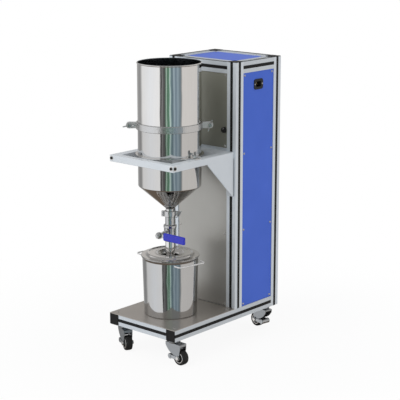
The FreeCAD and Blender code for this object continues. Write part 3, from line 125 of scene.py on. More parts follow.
# The screens stand all round the machine. Each has an angle in degrees and the colour that it shows there,
# and between two of them the colours blend.
pale_screens = [
    (-180, grey(0.30)), (-172, grey(0.34)), (-160, grey(0.80)), (-120, (0.86, 0.88, 0.91)),
    (-82, grey(0.90)),
]
dark_screens = [
    (-80, grey(0.09)), (-76, grey(0.05)), (-74, grey(0.30)), (-71, grey(0.12)), (-64, grey(0.09)),
]
green_screens = [
    (-61, (0.05, 0.11, 0.07)), (-58, (0.46, 0.60, 0.52)), (-55, (0.08, 0.17, 0.11)),
    (-49, (0.14, 0.27, 0.19)), (-46, (0.62, 0.76, 0.72)), (-43, (0.20, 0.29, 0.30)),
]
slate_screens = [
    (-37, (0.10, 0.15, 0.18)), (-31, (0.36, 0.45, 0.50)), (-25, (0.16, 0.22, 0.27)),
    (-18, (0.30, 0.38, 0.43)), (-9, (0.16, 0.21, 0.24)), (-4, (0.30, 0.31, 0.31)),
]
warm_screens = [
    (-1, grey(0.66, 0.03)), (80, grey(0.62, 0.03)), (125, grey(0.62, 0.03)), (150, grey(0.40)),
    (180, grey(0.30)),
]
screen_bands = pale_screens + dark_screens + green_screens + slate_screens + warm_screens
ceiling_colour = grey(0.34)
ground_colour = (0.150, 0.118, 0.092)
ceiling_starts, ground_starts, all_past = 0.35, 0.34, 0.62
ambient_light = grey(0.74)
white = grey(1.0)

world = bpy.data.worlds.new("studio")
scene.world = world
world.use_nodes = True
world.node_tree.nodes.clear()
studio = Nodes(world.node_tree)
way = studio.add("ShaderNodeTexCoord", output="Generated")
east, north, up = (studio.add("ShaderNodeSeparateXYZ", None, {0: way}, axis) for axis in "XYZ")
heading = studio.add("ShaderNodeMath", {"operation": "ARCTAN2"}, {0: north, 1: east}) / (2 * pi) + 0.5
screens = studio.add("ShaderNodeValToRGB", {"stops": [
    (angle / 360 + 0.5, colour) for angle, colour in screen_bands]}, {0: heading})
seen_in_metal = studio.mix(studio.between(up, ceiling_starts, all_past), screens, ceiling_colour)
seen_in_metal = studio.mix(studio.between(up * -1, ground_starts, all_past), seen_in_metal, ground_colour)
is_glossy = studio.add("ShaderNodeLightPath", output="Is Glossy Ray")
is_camera = studio.add("ShaderNodeLightPath", output="Is Camera Ray")
is_through = studio.add("ShaderNodeLightPath", output="Is Transmission Ray")
world_colour = studio.mix(is_glossy, ambient_light, seen_in_metal)
world_colour = studio.mix(is_camera + is_through, world_colour, white)
studio.add("ShaderNodeOutputWorld", None, {
    "Surface": studio.add("ShaderNodeBackground", None, {"Color": world_colour, "Strength": 1.0})})

floor_reach = 3.0
floor_mesh = bpy.data.meshes.new("floor")
floor_work = bmesh.new()
bmesh.ops.create_circle(floor_work, cap_ends=True, segments=96, radius=floor_reach)
floor_work.to_mesh(floor_mesh)
floor_work.free()
floor = bpy.data.objects.new("floor", floor_mesh)
scene.collection.objects.link(floor)
floor.visible_glossy = False
floor_material = bpy.data.materials.new("floor_white")
floor_material.use_nodes = True
floor_material.node_tree.nodes.clear()
floor_nodes = Nodes(floor_material.node_tree)
from_middle = floor_nodes.add("ShaderNodeVectorMath", {"operation": "LENGTH"}, {
    0: floor_nodes.add("ShaderNodeTexCoord", output="Object")}, "Value")
backdrop = floor_nodes.between(from_middle, 0.4, 1.3, 0.92, 1.0)
floor_nodes.add("ShaderNodeOutputMaterial", None, {"Surface": floor_nodes.add("ShaderNodeMixShader", None, {
    0: floor_nodes.add("ShaderNodeLightPath", output="Is Camera Ray") * backdrop,
    1: floor_nodes.add("ShaderNodeBsdfDiffuse", None, {"Color": grey(0.82)}),
    2: floor_nodes.add("ShaderNodeEmission", None, {"Color": white, "Strength": 1.0}),
})})
floor_mesh.materials.append(floor_material)

lamp = bpy.data.objects.new("key_light", bpy.data.lights.new("key_light", "SUN"))
lamp.data.energy = 0.9
lamp.data.angle = radians(30)
lamp.rotation_euler = (radians(42), 0, radians(-15))
lamp.visible_glossy = False
scene.collection.objects.link(lamp)

camera_turn, camera_drop = 41.16, 13.43
camera = bpy.data.objects.new("camera", bpy.data.cameras.new("camera"))
camera.data.lens = 117.6
camera.data.shift_y = -0.0018
camera.location = (2.996, -3.403, 1.600)
camera.rotation_euler = (radians(90 - camera_drop), 0, radians(camera_turn))
scene.collection.objects.link(camera)
scene.camera = camera
scene.view_settings.view_transform = "Standard"


# Frame: rails and posts of extruded 40 mm aluminium with a slot in each side, sawn square.
# Clear anodised, so pale and satin, with faint lines along each length from the die.

class Finish(Nodes):
    """One material of the machine: its surface shader and what varies over it."""

    def __init__(self, name, values):
        self.made = bpy.data.materials.new(name)
        self.made.use_nodes = True
        super().__init__(self.made.node_tree)
        self.surface = self.tree.nodes["Principled BSDF"]
        self.set(values)

    def set(self, values):
        for name, value in values.items():
            self.feed(self.surface.inputs[name], value)

    def relief(self, height, depth, strength=1.0):
        self.set({"Normal": self.add("ShaderNodeBump", None, {
            "Strength": strength, "Distance": depth, "Height": height})})


def dress(finish, *names):
    """Gives CAD nodes their finish."""
    for name in names:
        for material_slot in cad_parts[name].material_slots:
            material_slot.material = finish.made


def anodised(name, stretch, level=0.95):
    finish = Finish(name, {"Metallic": 0.5})
    lines = finish.noise(900, stretch, 3)
    cloud = finish.noise(14, stretch)
    dark, pale = ([level * part for part in colour] for colour in ((0.66, 0.71, 0.76), (0.83, 0.88, 0.93)))
    finish.set({
        "Base Color": finish.mix(cloud * 0.5 + lines * 0.3, dark, pale),
        "Roughness": 0.34 + lines * 0.16,
    })
    finish.relief(lines, 0.00006)
    return finish


anodised_cross_rails = anodised("anodised_cross_rails", (0.01, 1, 1))
dress(anodised("anodised_posts", (1, 1, 0.01), 1.07), "front_posts", "rear_posts")
dress(anodised("anodised_side_rails", (1, 0.01, 1)), "base_side_rails")
dress(anodised_cross_rails, "base_front_rail", "base_inner_rails", "column_mid_rail")
dress(anodised("anodised_top_rails", (0.3, 0.3, 0.3)), "top_rails")


# Corner brackets: small die-cast aluminium angles in the inner corners of the frame.
# They are left as cast, so they are grainy and duller than the profile, and are screwed into its slots.

cast = Finish("cast_aluminium", {"Metallic": 0.9})
grain = cast.noise(700, detail=4)
cast.set({
    "Base Color": cast.mix(grain, grey(0.42), grey(0.62)),
    "Roughness": 0.5 + grain * 0.2,
})
cast.relief(grain, 0.0002)
dress(cast, "corner_brackets")


# Slot strips and end caps: black plastic. The strips are pressed into the outer slots.
# The caps clip on the posts' tops and the side rails' front ends, with a soft edge and a drawn-in face.

def black_plastic(name, colour, gloss):
    finish = Finish(name, {"Specular IOR Level": 0.25})
    texture = finish.noise(1400, detail=3)
    wear = finish.noise(45)
    finish.set({
        "Base Color": finish.mix(wear, grey(colour), grey(colour * 1.9)),
        "Roughness": gloss + wear * 0.12,
    })
    finish.relief(texture, 0.00008)
    return finish


cap_plastic = black_plastic("black_plastic", 0.006, 0.45)
dress(cap_plastic, "slot_strips")


def at(x=0, y=0, z=0, turn=0, tip=0):
    """A place in millimetres, turned about Z after a tip about X."""
    turned = Matrix.Rotation(radians(turn), 4, "Z") @ Matrix.Rotation(radians(tip), 4, "X")
    return Matrix.Translation((x, y, z)) @ turned


def prism(work, outline, low, high, place=Matrix()):
    """A solid with a flat outline, between two heights. All shapes are made in millimetres."""
    rings = [[work.verts.new(place @ Vector((x, y, z))) for x, y in outline] for z in (low, high)]
    work.faces.new(rings[0][::-1])
    work.faces.new(rings[1])
    for this, after in zip(range(len(outline)), [*range(1, len(outline)), 0]):
        work.faces.new((rings[0][this], rings[0][after], rings[1][after], rings[1][this]))


def hollow_prism(work, outer, inner, low, high, place=Matrix()):
    """A prism with a hole through it. Both outlines have as many points."""
    rings = [
        [work.verts.new(place @ Vector((x, y, z))) for x, y in outline]
        for outline, z in ((outer, low), (outer, high), (inner, high), (inner, low))
    ]
    for near, far in zip(rings, rings[1:] + rings[:1]):
        for this, after in zip(range(len(outer)), [*range(1, len(outer)), 0]):
            work.faces.new((near[this], near[after], far[after], far[this]))


def rounded(width, height, corner, steps=5):
    """The outline of a rectangle about the origin, with round corners."""
    points = []
    for quarter, (side_x, side_y) in enumerate(((1, 1), (-1, 1), (-1, -1), (1, -1))):
        for step in range(steps + 1):
            angle = pi / 2 * (quarter + step / steps)
            points.append((side_x * (width / 2 - corner) + corner * cos(angle),
                           side_y * (height / 2 - corner) + corner * sin(angle)))
    return points


def piece(name, work, finish, body, stands_for=(), soften=0.0, steps=2, sharp=38):
    """Makes an object of a worked shape, with its edges softened, and ties it to its body."""
    bmesh.ops.scale(work, vec=(0.001, 0.001, 0.001), verts=work.verts)
    bmesh.ops.recalc_face_normals(work, faces=work.faces)
    mesh = bpy.data.meshes.new(name)
    work.to_mesh(mesh)
    work.free()
    mesh.shade_smooth()
    mesh.set_sharp_from_angle(angle=radians(sharp))
    mesh.materials.append(finish.made)
    made = bpy.data.objects.new(name, mesh)
    scene.collection.objects.link(made)
    if soften:
        edge = made.modifiers.new("soft_edges", "BEVEL")
        edge.width = soften / 1000
        edge.segments = steps
        edge.limit_method = "ANGLE"
        edge.angle_limit = radians(sharp)
        edge.harden_normals = True
    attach(made, body)
    if stands_for:
        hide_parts(*stands_for)
    return made


rail = 40
rail_centre = 135
front_row, rear_row = 55, 265
base_front = -283
base_level = 110
column_top = 1015
caps = bmesh.new()
cap_places = [at(rail_centre * side, y, column_top) for side in (-1, 1) for y in (front_row, rear_row)]
cap_places += [at(rail_centre * side, base_front, base_level, tip=90) for side in (-1, 1)]
for place in cap_places:
    prism(caps, rounded(rail, rail, 2.5), 0, 1.6, place)
    hollow_prism(caps, rounded(rail - 1.2, rail - 1.2, 2), rounded(rail - 9, rail - 9, 3), 1.5, 2, place)
piece("end_caps_moulded", caps, cap_plastic, "machine", ["end_caps"], soften=0.4)


# Strip beads and top edge strip: the visible lips of the slot strips, which overlap the slot's edges a
# little, and a thin black strip along the outer edges of the column's top: painted shade for the dark line
# along those edges.

toward = {"front": (0, 90), "right": (90, 90), "left": (-90, 90), "rear": (180, 90), "up": (0, 0)}


def facing(side, x, y, z):
    """A place on a face of the machine, with Z pointing out of it."""
    turn, tip = toward[side]
    return at(x, y, z, turn, tip)


def side_name(side):
    return "right" if side > 0 else "left"


bead_width, bead_depth = 11.4, 0.4
frame_side, column_front, column_middle = 155, 35, 160
top_rail_level = column_top - rail / 2
base_top = base_level + rail / 2
base_foot = base_level - rail / 2
gusset_foot, bracket_top = 544, 703
clear_width, clear_depth = 230, 170
# A level bead has its length, and an upright one the heights of its ends.
level_beads = [
    ("front", 0, base_front, base_level, clear_width),
    ("front", 0, column_front, top_rail_level, clear_width),
]
upright_beads = []
for side in (-1, 1):
    face = side_name(side)
    level_beads += [
        (face, frame_side * side, -19, base_level, 528),
        (face, frame_side * side, column_middle, top_rail_level, clear_depth),
    ]
    upright_beads += [
        (face, frame_side * side, front_row, base_top, column_top),
        (face, frame_side * side, rear_row, base_foot, column_top),
        ("front", rail_centre * side, column_front, base_top, gusset_foot),
        ("front", rail_centre * side, column_front, bracket_top, column_top),
    ]
beads = bmesh.new()
for face, x, y, level, length in level_beads:
    prism(beads, rounded(length, bead_width, 0.5, 2), 0, bead_depth, facing(face, x, y, level))
for face, x, y, foot, head in upright_beads:
    middle = (foot + head) / 2
    prism(beads, rounded(bead_width, head - foot, 0.5, 2), 0, bead_depth, facing(face, x, y, middle))
piece("slot_strip_beads", beads, cap_plastic, "machine", soften=0.15)

# A black strip on each outer edge of the top: painted shade along those edges.
shade_strip_width, shade_strip_top = 3.4, 1016.6
side_shade_strip = rounded(shade_strip_width, clear_depth, 0.4, 2)
end_shade_strip = rounded(clear_width, shade_strip_width, 0.4, 2)
shade_strip = bmesh.new()
for side in (-1, 1):
    prism(shade_strip, side_shade_strip, column_top, shade_strip_top, at(153.2 * side, column_middle))
    prism(shade_strip, end_shade_strip, column_top, shade_strip_top, at(0, column_middle + 123.2 * side))
piece("top_edge_shade_strip", shade_strip, cap_plastic, "machine", soften=0.3)


# Deck and front panels: stainless sheet with a dull rolled finish, held by button screws.
# The sheet clouds what it reflects, with faint lines and soft blotches.

def sheet_steel(name, dark, pale, metal, stretch=(1, 1, 0.02)):
    finish = Finish(name, {"Metallic": metal})
    lines = finish.noise(1500, stretch, 3)
    blotch = finish.noise(9, detail=3)
    speck = finish.noise(420)
    finish.set({
        "Base Color": finish.mix(blotch * 0.7 + lines * 0.2 + speck * 0.1, dark, pale),
        "Roughness": 0.26 + blotch * 0.12 + lines * 0.08,
    })
    finish.relief(lines * 0.7 + speck * 0.3, 0.00005)
    return finish


deck_steel = sheet_steel("deck_steel", (0.38, 0.35, 0.32), (0.56, 0.52, 0.48), 0.7, (1, 0.02, 1))
# The upper front panel takes a darker, olive copy of the same sheet: painted shade and painted reflection
# of the vessel and bracket above it.
upper_front_steel_painted_shade = sheet_steel("upper_front_steel_painted_shade", (0.24, 0.24, 0.20), (0.34, 0.34, 0.29), 0.5)
lower_front_steel = sheet_steel("lower_front_steel", (0.44, 0.43, 0.40), (0.58, 0.57, 0.54), 0.7)
dress(deck_steel, "deck_plate")
dress(upper_front_steel_painted_shade, "front_panel_upper")
dress(lower_front_steel, "front_panel_lower")


# Side, rear and top panels: steel sheet that is set flush between the rails and held by button screws.
# They have a blue powder coat, satin with a fine orange peel and slightly uneven in tone.

powder = Finish("blue_powder", {"Specular IOR Level": 0.3})
peel = powder.noise(650, detail=3)
tone = powder.noise(7)
powder.set({
    "Base Color": powder.mix(tone, (0.050, 0.130, 0.62), (0.068, 0.160, 0.72)),
    "Roughness": 0.40 + peel * 0.08,
})
powder.relief(peel, 0.00012)
dress(powder, "side_panels", "rear_panel", "top_panel")


# Panel screws: nickel-plated button heads with a six-sided socket, screwed into tabs behind the sheets.
# The tabs are small steel plates with the same plating, fixed in the frame's inner slots.

def six_sided(*rings):
    """The rings of a turned shape that have six flats."""
    return lambda ring, angle: 1 / cos(angle % (pi / 3) - pi / 6) if ring in rings else 1


def held(profile):
    """Adds a ring close to each end of a long straight wall, so that it shades as straight."""
    points = []
    for here, there in zip(profile, profile[1:] + profile[:1]):
        points.append(here)
        length = hypot(there[0] - here[0], there[1] - here[1])
        if length > 5:
            for share in (0.3 / length, 1 - 0.3 / length):
                points.append(tuple(a + (b - a) * share for a, b in zip(here, there)))
    return points


def spin(work, profile, place=Matrix(), steps=48, start=0, end=360, shape=None):
    """Turns a closed outline of (radius, height) points about the place's Z axis."""
    if not shape:
        profile = held(profile)
    whole = end - start >= 360
    count = steps if whole else steps + 1
    rings = []
    for index, (radius, height) in enumerate(profile):
        if radius == 0:
            rings.append([work.verts.new(place @ Vector((0, 0, height)))] * count)
            continue
        ring = []
        for step in range(count):
            angle = radians(start + (end - start) * step / steps)
            reach = radius * (shape(index, angle) if shape else 1)
            ring.append(work.verts.new(place @ Vector((reach * cos(angle), reach * sin(angle), height))))
        rings.append(ring)
    for near, far in zip(rings, rings[1:] + rings[:1]):
        for step in range(steps):
            after = (step + 1) % count
            corners = list(dict.fromkeys((near[step], near[after], far[after], far[step])))
            if len(corners) > 2:
                work.faces.new(corners)
    if not whole:
        for step in (0, -1):
            work.faces.new([ring[step] for ring in rings])


def button_head(work, radius, height, place):
    """A domed screw head that stands on the place's plane."""
    socket = radius * 0.42
    spin(work, [
        (0, 0), (radius, 0), (radius, height * 0.25), (radius * 0.9, height * 0.62),
        (radius * 0.7, height * 0.9), (socket * 1.25, height), (socket, height), (socket, height * 0.3),
        (0, height * 0.3),
    ], place, 24, shape=six_sided(6, 7))


def plated(name, level, roughness, warmth=0.0):
    finish = Finish(name, {"Metallic": 1.0})
    cloud = finish.noise(260, detail=3)
    finish.set({
        "Base Color": finish.mix(cloud, grey(level * 0.82, warmth), grey(level, warmth)),
        "Roughness": roughness + cloud * 0.12,
    })
    finish.relief(cloud, 0.00005)
    return finish


screw_plating = plated("screw_plating", 0.86, 0.14, 0.03)
deck_face, top_face = 132, 1013
front_face, rear_face, side_face = 37, 283, 153
screw_column = 106
screw_rows = (84, 236)
screw_levels = (139, 414.67, 690.33, 966)
front_screw_levels = (966, 721, 663, 402, 141.5)
screw_places = []
for side in (-1, 1):
    screw_places += [facing("up", rail_centre * side, y, deck_face) for y in (-263, 13)]
    screw_places += [facing("front", screw_column * side, front_face, z) for z in front_screw_levels]
    screw_places += [facing("rear", screw_column * side, rear_face, z) for z in screw_levels]
    screw_places += [facing("up", screw_column * side, y, top_face) for y in screw_rows]
    for y in screw_rows:
        screw_places += [facing(side_name(side), side_face * side, y, z) for z in screw_levels]
screws = bmesh.new()
for place in screw_places:
    button_head(screws, 4, 1.6, place)
piece("panel_screw_heads", screws, screw_plating, "machine", ["panel_screws"], sharp=30)
dress(screw_plating, "panel_tabs")


# Mains inlet: a black moulded socket with three brass pins. It clips and screws into the right side panel,
# and its flange has large round corners.

inlet_place = facing("right", side_face, column_middle, 929)
inlet_flange = rounded(50, 37, 9)
inlet_housing = rounded(30, 23, 2.5)
inlet_mouth = rounded(26, 19, 2)
inlet = bmesh.new()
hollow_prism(inlet, inlet_flange, inlet_mouth, 0, 2, inlet_place)
hollow_prism(inlet, inlet_housing, inlet_mouth, -24, 0.2, inlet_place)
prism(inlet, inlet_housing, -28, -22, inlet_place)
inlet_plastic = black_plastic("inlet_plastic", 0.012, 0.3)
piece("inlet_socket_shell", inlet, inlet_plastic, "machine", ["power_inlet"], soften=0.5)
inlet_screws = bmesh.new()
for side in (-1, 1):
    button_head(inlet_screws, 3, 1.4, inlet_place @ at(20 * side, 0, 2))
piece("inlet_screws", inlet_screws, screw_plating, "machine", sharp=30)
brass = Finish("brass_pins", {"Metallic": 1.0})
tarnish = brass.noise(900)
brass.set({
    "Base Color": brass.mix(tarnish, (0.62, 0.42, 0.16), (0.80, 0.60, 0.28)),
    "Roughness": 0.2 + tarnish * 0.15,
})
dress(brass, "inlet_pins")


# Power unit: plain boxes of grey painted sheet inside the column, unseen with the panels on.
# One stands on the base's rails, and one behind the knob holds its control.

unit = Finish("unit_grey", {})
speckle = unit.noise(500, detail=3)
unit.set({"Base Color": unit.mix(speckle, grey(0.26), grey(0.34)), "Roughness": 0.5 + speckle * 0.1})
unit.relief(speckle, 0.0001)
dress(unit, "power_unit")


# Control knob: a black moulded knob with fluted sides, on a shaft through the upper front panel.
# Its pointer is a short line filled with white paint.

flute_count, flute_depth = 18, 0.035


def fluted(ring, angle):
    """The knob's skirt has shallow flutes, and its foot and face are round."""
    return 1 - flute_depth * (1 + cos(angle * flute_count)) / 2 if ring in (2, 3, 4) else 1


knob_place = facing("front", 102, front_face, 776)
knob = bmesh.new()
spin(knob, [(0, 0.6), (9.2, 0.6), (10.8, 1.2), (10.6, 5.6), (9.6, 7.2), (7.8, 7.4), (0, 7)],
     knob_place, 6 * flute_count, shape=fluted)
knob_plastic = black_plastic("knob_plastic", 0.012, 0.34)
piece("knob_grip", knob, knob_plastic, "knob", ["control_knob"], sharp=50)
pointer = bmesh.new()
prism(pointer, rounded(1.1, 6.5, 0.5), 6.9, 7.7, knob_place @ at(0, 5.6, 0))
pointer_white = Finish("pointer_white", {"Roughness": 0.45})
fade = pointer_white.noise(800)
pointer_white.set({"Base Color": pointer_white.mix(fade, grey(0.7), grey(0.85))})
piece("knob_pointer", pointer, pointer_white, "knob", soften=0.2)


# Vessel bracket: a welded frame of flat steel with two gussets, painted white, bolted to the front posts.
# The paint is smooth and satin, and a little uneven in tone.

paint = Finish("white_paint", {"Coat Roughness": 0.25})
ripple = paint.noise(60, detail=3)
dust = paint.noise(7, detail=3)
paint.set({
    "Base Color": paint.mix(dust, (0.60, 0.65, 0.70), (0.76, 0.80, 0.84)),
    "Roughness": 0.3 + ripple * 0.14,
    "Coat Weight": 0.2 + dust * 0.2,
})
paint.relief(ripple, 0.0003, 0.5)


def rectangle(low_x, low_y, high_x, high_y):
    return [(low_x, low_y), (high_x, low_y), (high_x, high_y), (low_x, high_y)]


bracket_half, bracket_front, bracket_low = 148, -280, 680
gusset_top = 681
along_y = Matrix(((0, 0, 1, 0), (1, 0, 0, 0), (0, 1, 0, 0), (0, 0, 0, 1)))
gusset = [(34.5, gusset_foot), (34.5, gusset_top), (-104, gusset_top), (-104, 677), (30, gusset_foot)]
bracket = bmesh.new()
hollow_prism(bracket, rectangle(-bracket_half, bracket_front, bracket_half, column_front),
             rectangle(-116, -254, 116, -17), bracket_low, bracket_top)
for side in (-1, 1):
    prism(bracket, gusset, *sorted((143 * side, bracket_half * side)), along_y)
    prism(bracket, rectangle(30, gusset_foot, column_front, gusset_top),
          *sorted((117 * side, bracket_half * side)), along_y)
piece("bracket_frame", bracket, paint, "machine", ["support_bracket"], soften=1.2, steps=3)


# Bracket bolts and ring studs: zinc-plated steel with socket heads. The studs come up through the bars.
# The four screws at the bracket's front corners have near-black heads on plated washers: painted shade that
# stands in for the dark of their sockets.

def stud(work, radius, low, high, place):
    """A threaded rod: fine rounded ridges with a chamfered end."""
    turns = [(radius * 0.6, low)]
    count = int(high - low)
    for turn in range(count):
        level = low + (high - low) * turn / count
        turns += [(radius * 0.9, level), (radius, level + 0.5)]
    turns += [(radius * 0.9, high - 0.3), (radius * 0.7, high)]
    spin(work, [(0, low)] + turns + [(0, high)], place, 24)


def cap_head(work, radius, height, place):
    """A socket cap head that stands on the place's plane."""
    socket = radius * 0.5
    spin(work, [
        (0, 0), (radius, 0), (radius, height * 0.8), (radius * 0.9, height), (socket * 1.2, height),
        (socket, height), (socket, height * 0.35), (0, height * 0.35),
    ], place, 30, shape=six_sided(5, 6))


bolts = bmesh.new()
corner_heads = bmesh.new()
washers = bmesh.new()
ring_studs = [(125.5, -145.98), (-125.5, -124.02)]
for side in (-1, 1):
    for level in (568, 656):
        cap_head(bolts, 4.8, 4, facing("front", rail_centre * side, 30, level))
    for place in (facing("front", 139 * side, bracket_front, 692.5),
                  facing(side_name(side), bracket_half * side, -271, 692)):
        cap_head(corner_heads, 5.2, 3.2, place)
        spin(washers, [(4, 0), (8, 0), (8, 0.7), (7.7, 1), (4, 1)], place, 30)
for x, y in ring_studs:
    stud(bolts, 4, 690, 729, at(x, y, 0))
    cap_head(bolts, 6.8, 5.2, at(x, y, bracket_low, tip=180))
bolt_zinc = plated("bolt_zinc", 0.62, 0.2)
piece("bracket_bolt_heads", bolts, bolt_zinc, "machine", ["bracket_bolts"], sharp=30)
# Near-black heads: painted shade for the dark of the sockets.
dark_heads_painted_shade = plated("dark_heads_painted_shade", 0.07, 0.3)
piece("bracket_corner_heads", corner_heads, dark_heads_painted_shade, "machine", sharp=30)
piece("bracket_washers", washers, screw_plating, "machine", sharp=30)


# Vessel: two halves of rolled and welded stainless, mirror polished outside. The lower half ends in a cone
# and a clamp ferrule. Polishing leaves faint upright streaks, and the rolled sheet waves a little, so that
# reflections wander.

def polished(name, level, roughness, waves=1.0, warmth=0.012, wave_scale=11):
    finish = Finish(name, {"Metallic": 1.0})
    streaks = finish.noise(300, (1, 1, 0.03), 3)
    smears = finish.noise(22, (1, 1, 0.35), 3)
    swell = finish.noise(wave_scale, (1, 1, 0.5))
    dull, bright = grey(level * 0.86, warmth), grey(level, warmth)
    finish.set({
        "Base Color": finish.mix(streaks * 0.5 + smears * 0.5, dull, bright),
        "Roughness": roughness + smears * 0.05 + streaks * 0.02,
    })
    finish.relief(swell * 0.9 + streaks * 0.03, 0.0016 * waves)
    return finish


mirror = polished("mirror_steel", 0.92, 0.02)
# The lower half takes a darker copy of the mirror steel: painted shade from the bracket above it.
lower_mirror_painted_shade = polished("lower_mirror_steel", 0.74, 0.03)
# The inside takes a dark, bluish copy of the polished steel: painted shade and a painted bluish reflection
# inside the vessel.
inner_steel_painted_shade = polished("inner_steel_painted_shade", 0.30, 0.14, warmth=-0.08)
vessel_row = -135
vessel_axis = at(0, vessel_row, 0)
vessel_wall, vessel_bore, hoop = 110, 108.5, 113
outlet_level, ferrule = 491, 19
smooth_turn = 192


def paint_inside_shade(made, finish):
    """Gives the faces that look at the vessel's axis a dark bluish copy of the steel: painted shade and
    painted reflection inside the vessel.
    """
    made.data.materials.append(finish.made)
    within = (vessel_wall - 0.5) / 1000
    for face in made.data.polygons:
        out = Vector((face.center.x, face.center.y - vessel_row / 1000, 0))
        if out.length < within and face.normal.dot(out) <= 0:
            face.material_index = 1


upper = bmesh.new()
spin(upper, [
    (hoop, 806), (hoop, 814.2), (112.4, 815), (110.4, 815.4), (vessel_wall, 816.5), (vessel_wall, 1017.5),
    (110.4, 1018.6), (111.4, 1019.2), (112, 1020.4), (111.8, 1021.8), (111, 1022.7), (109.9, 1023),
    (109, 1022.6), (vessel_bore, 1021.6), (vessel_bore, 806),
], vessel_axis, smooth_turn)
upper_shell = piece("upper_vessel_shell", upper, mirror, "machine",
                    ["upper_vessel"], sharp=50)
paint_inside_shade(upper_shell, inner_steel_painted_shade)

lower = bmesh.new()
spin(lower, [
    (hoop, 804), (hoop, 795.8), (112.4, 795), (110.4, 794.6), (vessel_wall, 793.5), (vessel_wall, 596),
    (109.6, 594.2), (108.6, 592.4), (18, 513.5), (15.8, 511.5), (15, 509), (15, 498), (ferrule, 494.6),
    (ferrule, outlet_level), (13.5, outlet_level), (13.5, 511.5), (107.6, 594.2), (vessel_bore, 596.5),
    (vessel_bore, 804),
], vessel_axis, smooth_turn)
lower_shell = piece("lower_vessel_shell", lower, lower_mirror_painted_shade, "machine",
                    ["lower_vessel"], sharp=50)
paint_inside_shade(lower_shell, inner_steel_painted_shade)


# Gasket and filter screen: a white silicone ring and a perforated stainless disc, both cut from sheet.
# The clamp holds both between the vessel's halves.

silicone = Finish("white_silicone", {"Subsurface Weight": 0.1})
soft = silicone.noise(300)
silicone.set({"Base Color": silicone.mix(soft, grey(0.62), grey(0.72)), "Roughness": 0.5 + soft * 0.1})
dress(silicone, "vessel_gasket")
dress(plated("screen_steel", 0.6, 0.26), "filter_screen")


# Support ring: a laser-cut stainless plate that is welded round the vessel's lower half.
# Its two lugs rest on the bracket, and the studs go through them.

ring_rim, ring_bore = 119, 110.1
lug_reach, lug_half = 142, 14
ring_top = 707


def ring_edge(angle):
    """How far out the ring goes at an angle: its rim, or one of its lugs."""
    lug = min(lug_reach / max(abs(cos(angle)), 1e-6), lug_half / max(abs(sin(angle)), 1e-6))
    return max(ring_rim, lug)


ring_steps = 720
ring_angles = [2 * pi * step / ring_steps for step in range(ring_steps)]
ring_plate = bmesh.new()
hollow_prism(ring_plate,
             [(ring_edge(angle) * cos(angle), ring_edge(angle) * sin(angle)) for angle in ring_angles],
             [(ring_bore * cos(angle), ring_bore * sin(angle)) for angle in ring_angles],
             bracket_top, ring_top, vessel_axis @ at(turn=-5))
satin = polished("satin_steel", 0.78, 0.2, waves=0.4)
piece("support_ring_plate", ring_plate, satin, "machine", ["support_ring"],
      soften=0.5, sharp=50)


# Vessel clamp: two halves of pressed channel that draw the hoops together, buffed to a soft shine.
# The ears at their ends are cast and duller, and a swing bolt goes through each pair.

clamp_polish = polished("clamp_polish", 0.76, 0.24, waves=0.9, warmth=0.0, wave_scale=60)
clamp_cast = plated("clamp_cast", 0.72, 0.4)
clamp_cast.set({"Metallic": 0.45})
clamp_level, clamp_turn = 805, 42
ear_distance, ear_outer = 139, 7


def clamp_half(work, side, rim, half_height, distance, ear, ears, place):
    """A half band with its lips round a rim, and an ear of a radius at each end that is named."""
    web = rim + 0.4
    outer = web + 2
    lip = rim - 2
    opening = degrees(2 / web)
    start = opening if side > 0 else 180 + opening
    spin(work, [
        (outer, 1.6 - half_height), (outer, half_height - 1.6), (outer - 0.6, half_height - 0.4),
        (outer - 1.8, half_height), (lip, half_height), (lip, half_height - 1.6),
        (web - 0.4, half_height - 2), (web, half_height - 3), (web, 3 - half_height),
        (web - 0.4, 2 - half_height), (lip, 1.6 - half_height), (lip, -half_height),
        (outer - 1.8, -half_height), (outer - 0.6, 0.4 - half_height),
    ], place, 96, start, start + 180 - 2 * opening)
    ear_face = -2 if side > 0 else ear_outer
    round_end = [radians(step * 15) for step in range(1, 12)]
    for end in ears:
        points = [(web + 1, -ear * 0.95), (distance, -ear)]
        points += [(distance + ear * sin(angle), -ear * cos(angle)) for angle in round_end]
        points += [(distance, ear), (web + 1, ear * 0.95)]
        prism(work, [(x * end, z) for x, z in points], ear_face - 5, ear_face, place @ at(tip=90))


def clamp_place(level):
    return at(0, vessel_row, level, clamp_turn)


def cast_ears(made, reach):
    """Gives the parts of a clamp that stand out beyond its band the dull finish of the castings."""
    made.data.materials.append(clamp_cast.made)
    for face in made.data.polygons:
        if hypot(face.center.x, face.center.y - vessel_row / 1000) > reach / 1000:
            face.material_index = 1


for name, side in (("front", -1), ("rear", 1)):
    half = bmesh.new()
    clamp_half(half, side, rim=hoop, half_height=12, distance=ear_distance, ear=11, ears=(-1, 1),
               place=clamp_place(clamp_level))
    band = piece(f"clamp_band_{name}", half, clamp_polish, "machine", [f"clamp_{name}_half"],
                 soften=0.8, sharp=45)
    cast_ears(band, reach=119)

outlet_ear = 31
swing_bolts = [
    (ear_distance, 4, 19, clamp_level),
    (-ear_distance, 4, 19, clamp_level),
    (outlet_ear, 3, 17, outlet_level),
]
clamp_screws = bmesh.new()
for distance, bolt, top, level in swing_bolts:
    place = clamp_place(level) @ at(distance, 0, 0, tip=90)
    head = -ear_outer - bolt * 1.3
    stud(clamp_screws, bolt, -ear_outer, top, place)
    spin(clamp_screws, [(0, head), (bolt * 1.45, head), (bolt * 1.47, -ear_outer), (0, -ear_outer)],
         place, 24, shape=six_sided(1, 2))
piece("clamp_screw_set", clamp_screws, bolt_zinc, "machine", ["clamp_bolts"],
      soften=0.3, sharp=30)


# Wing nuts: cast stainless, with two rounded wings on a tapered hub, tumbled to a soft shine.
# Each turns on its own bolt, and its bore clears the thread by a little.

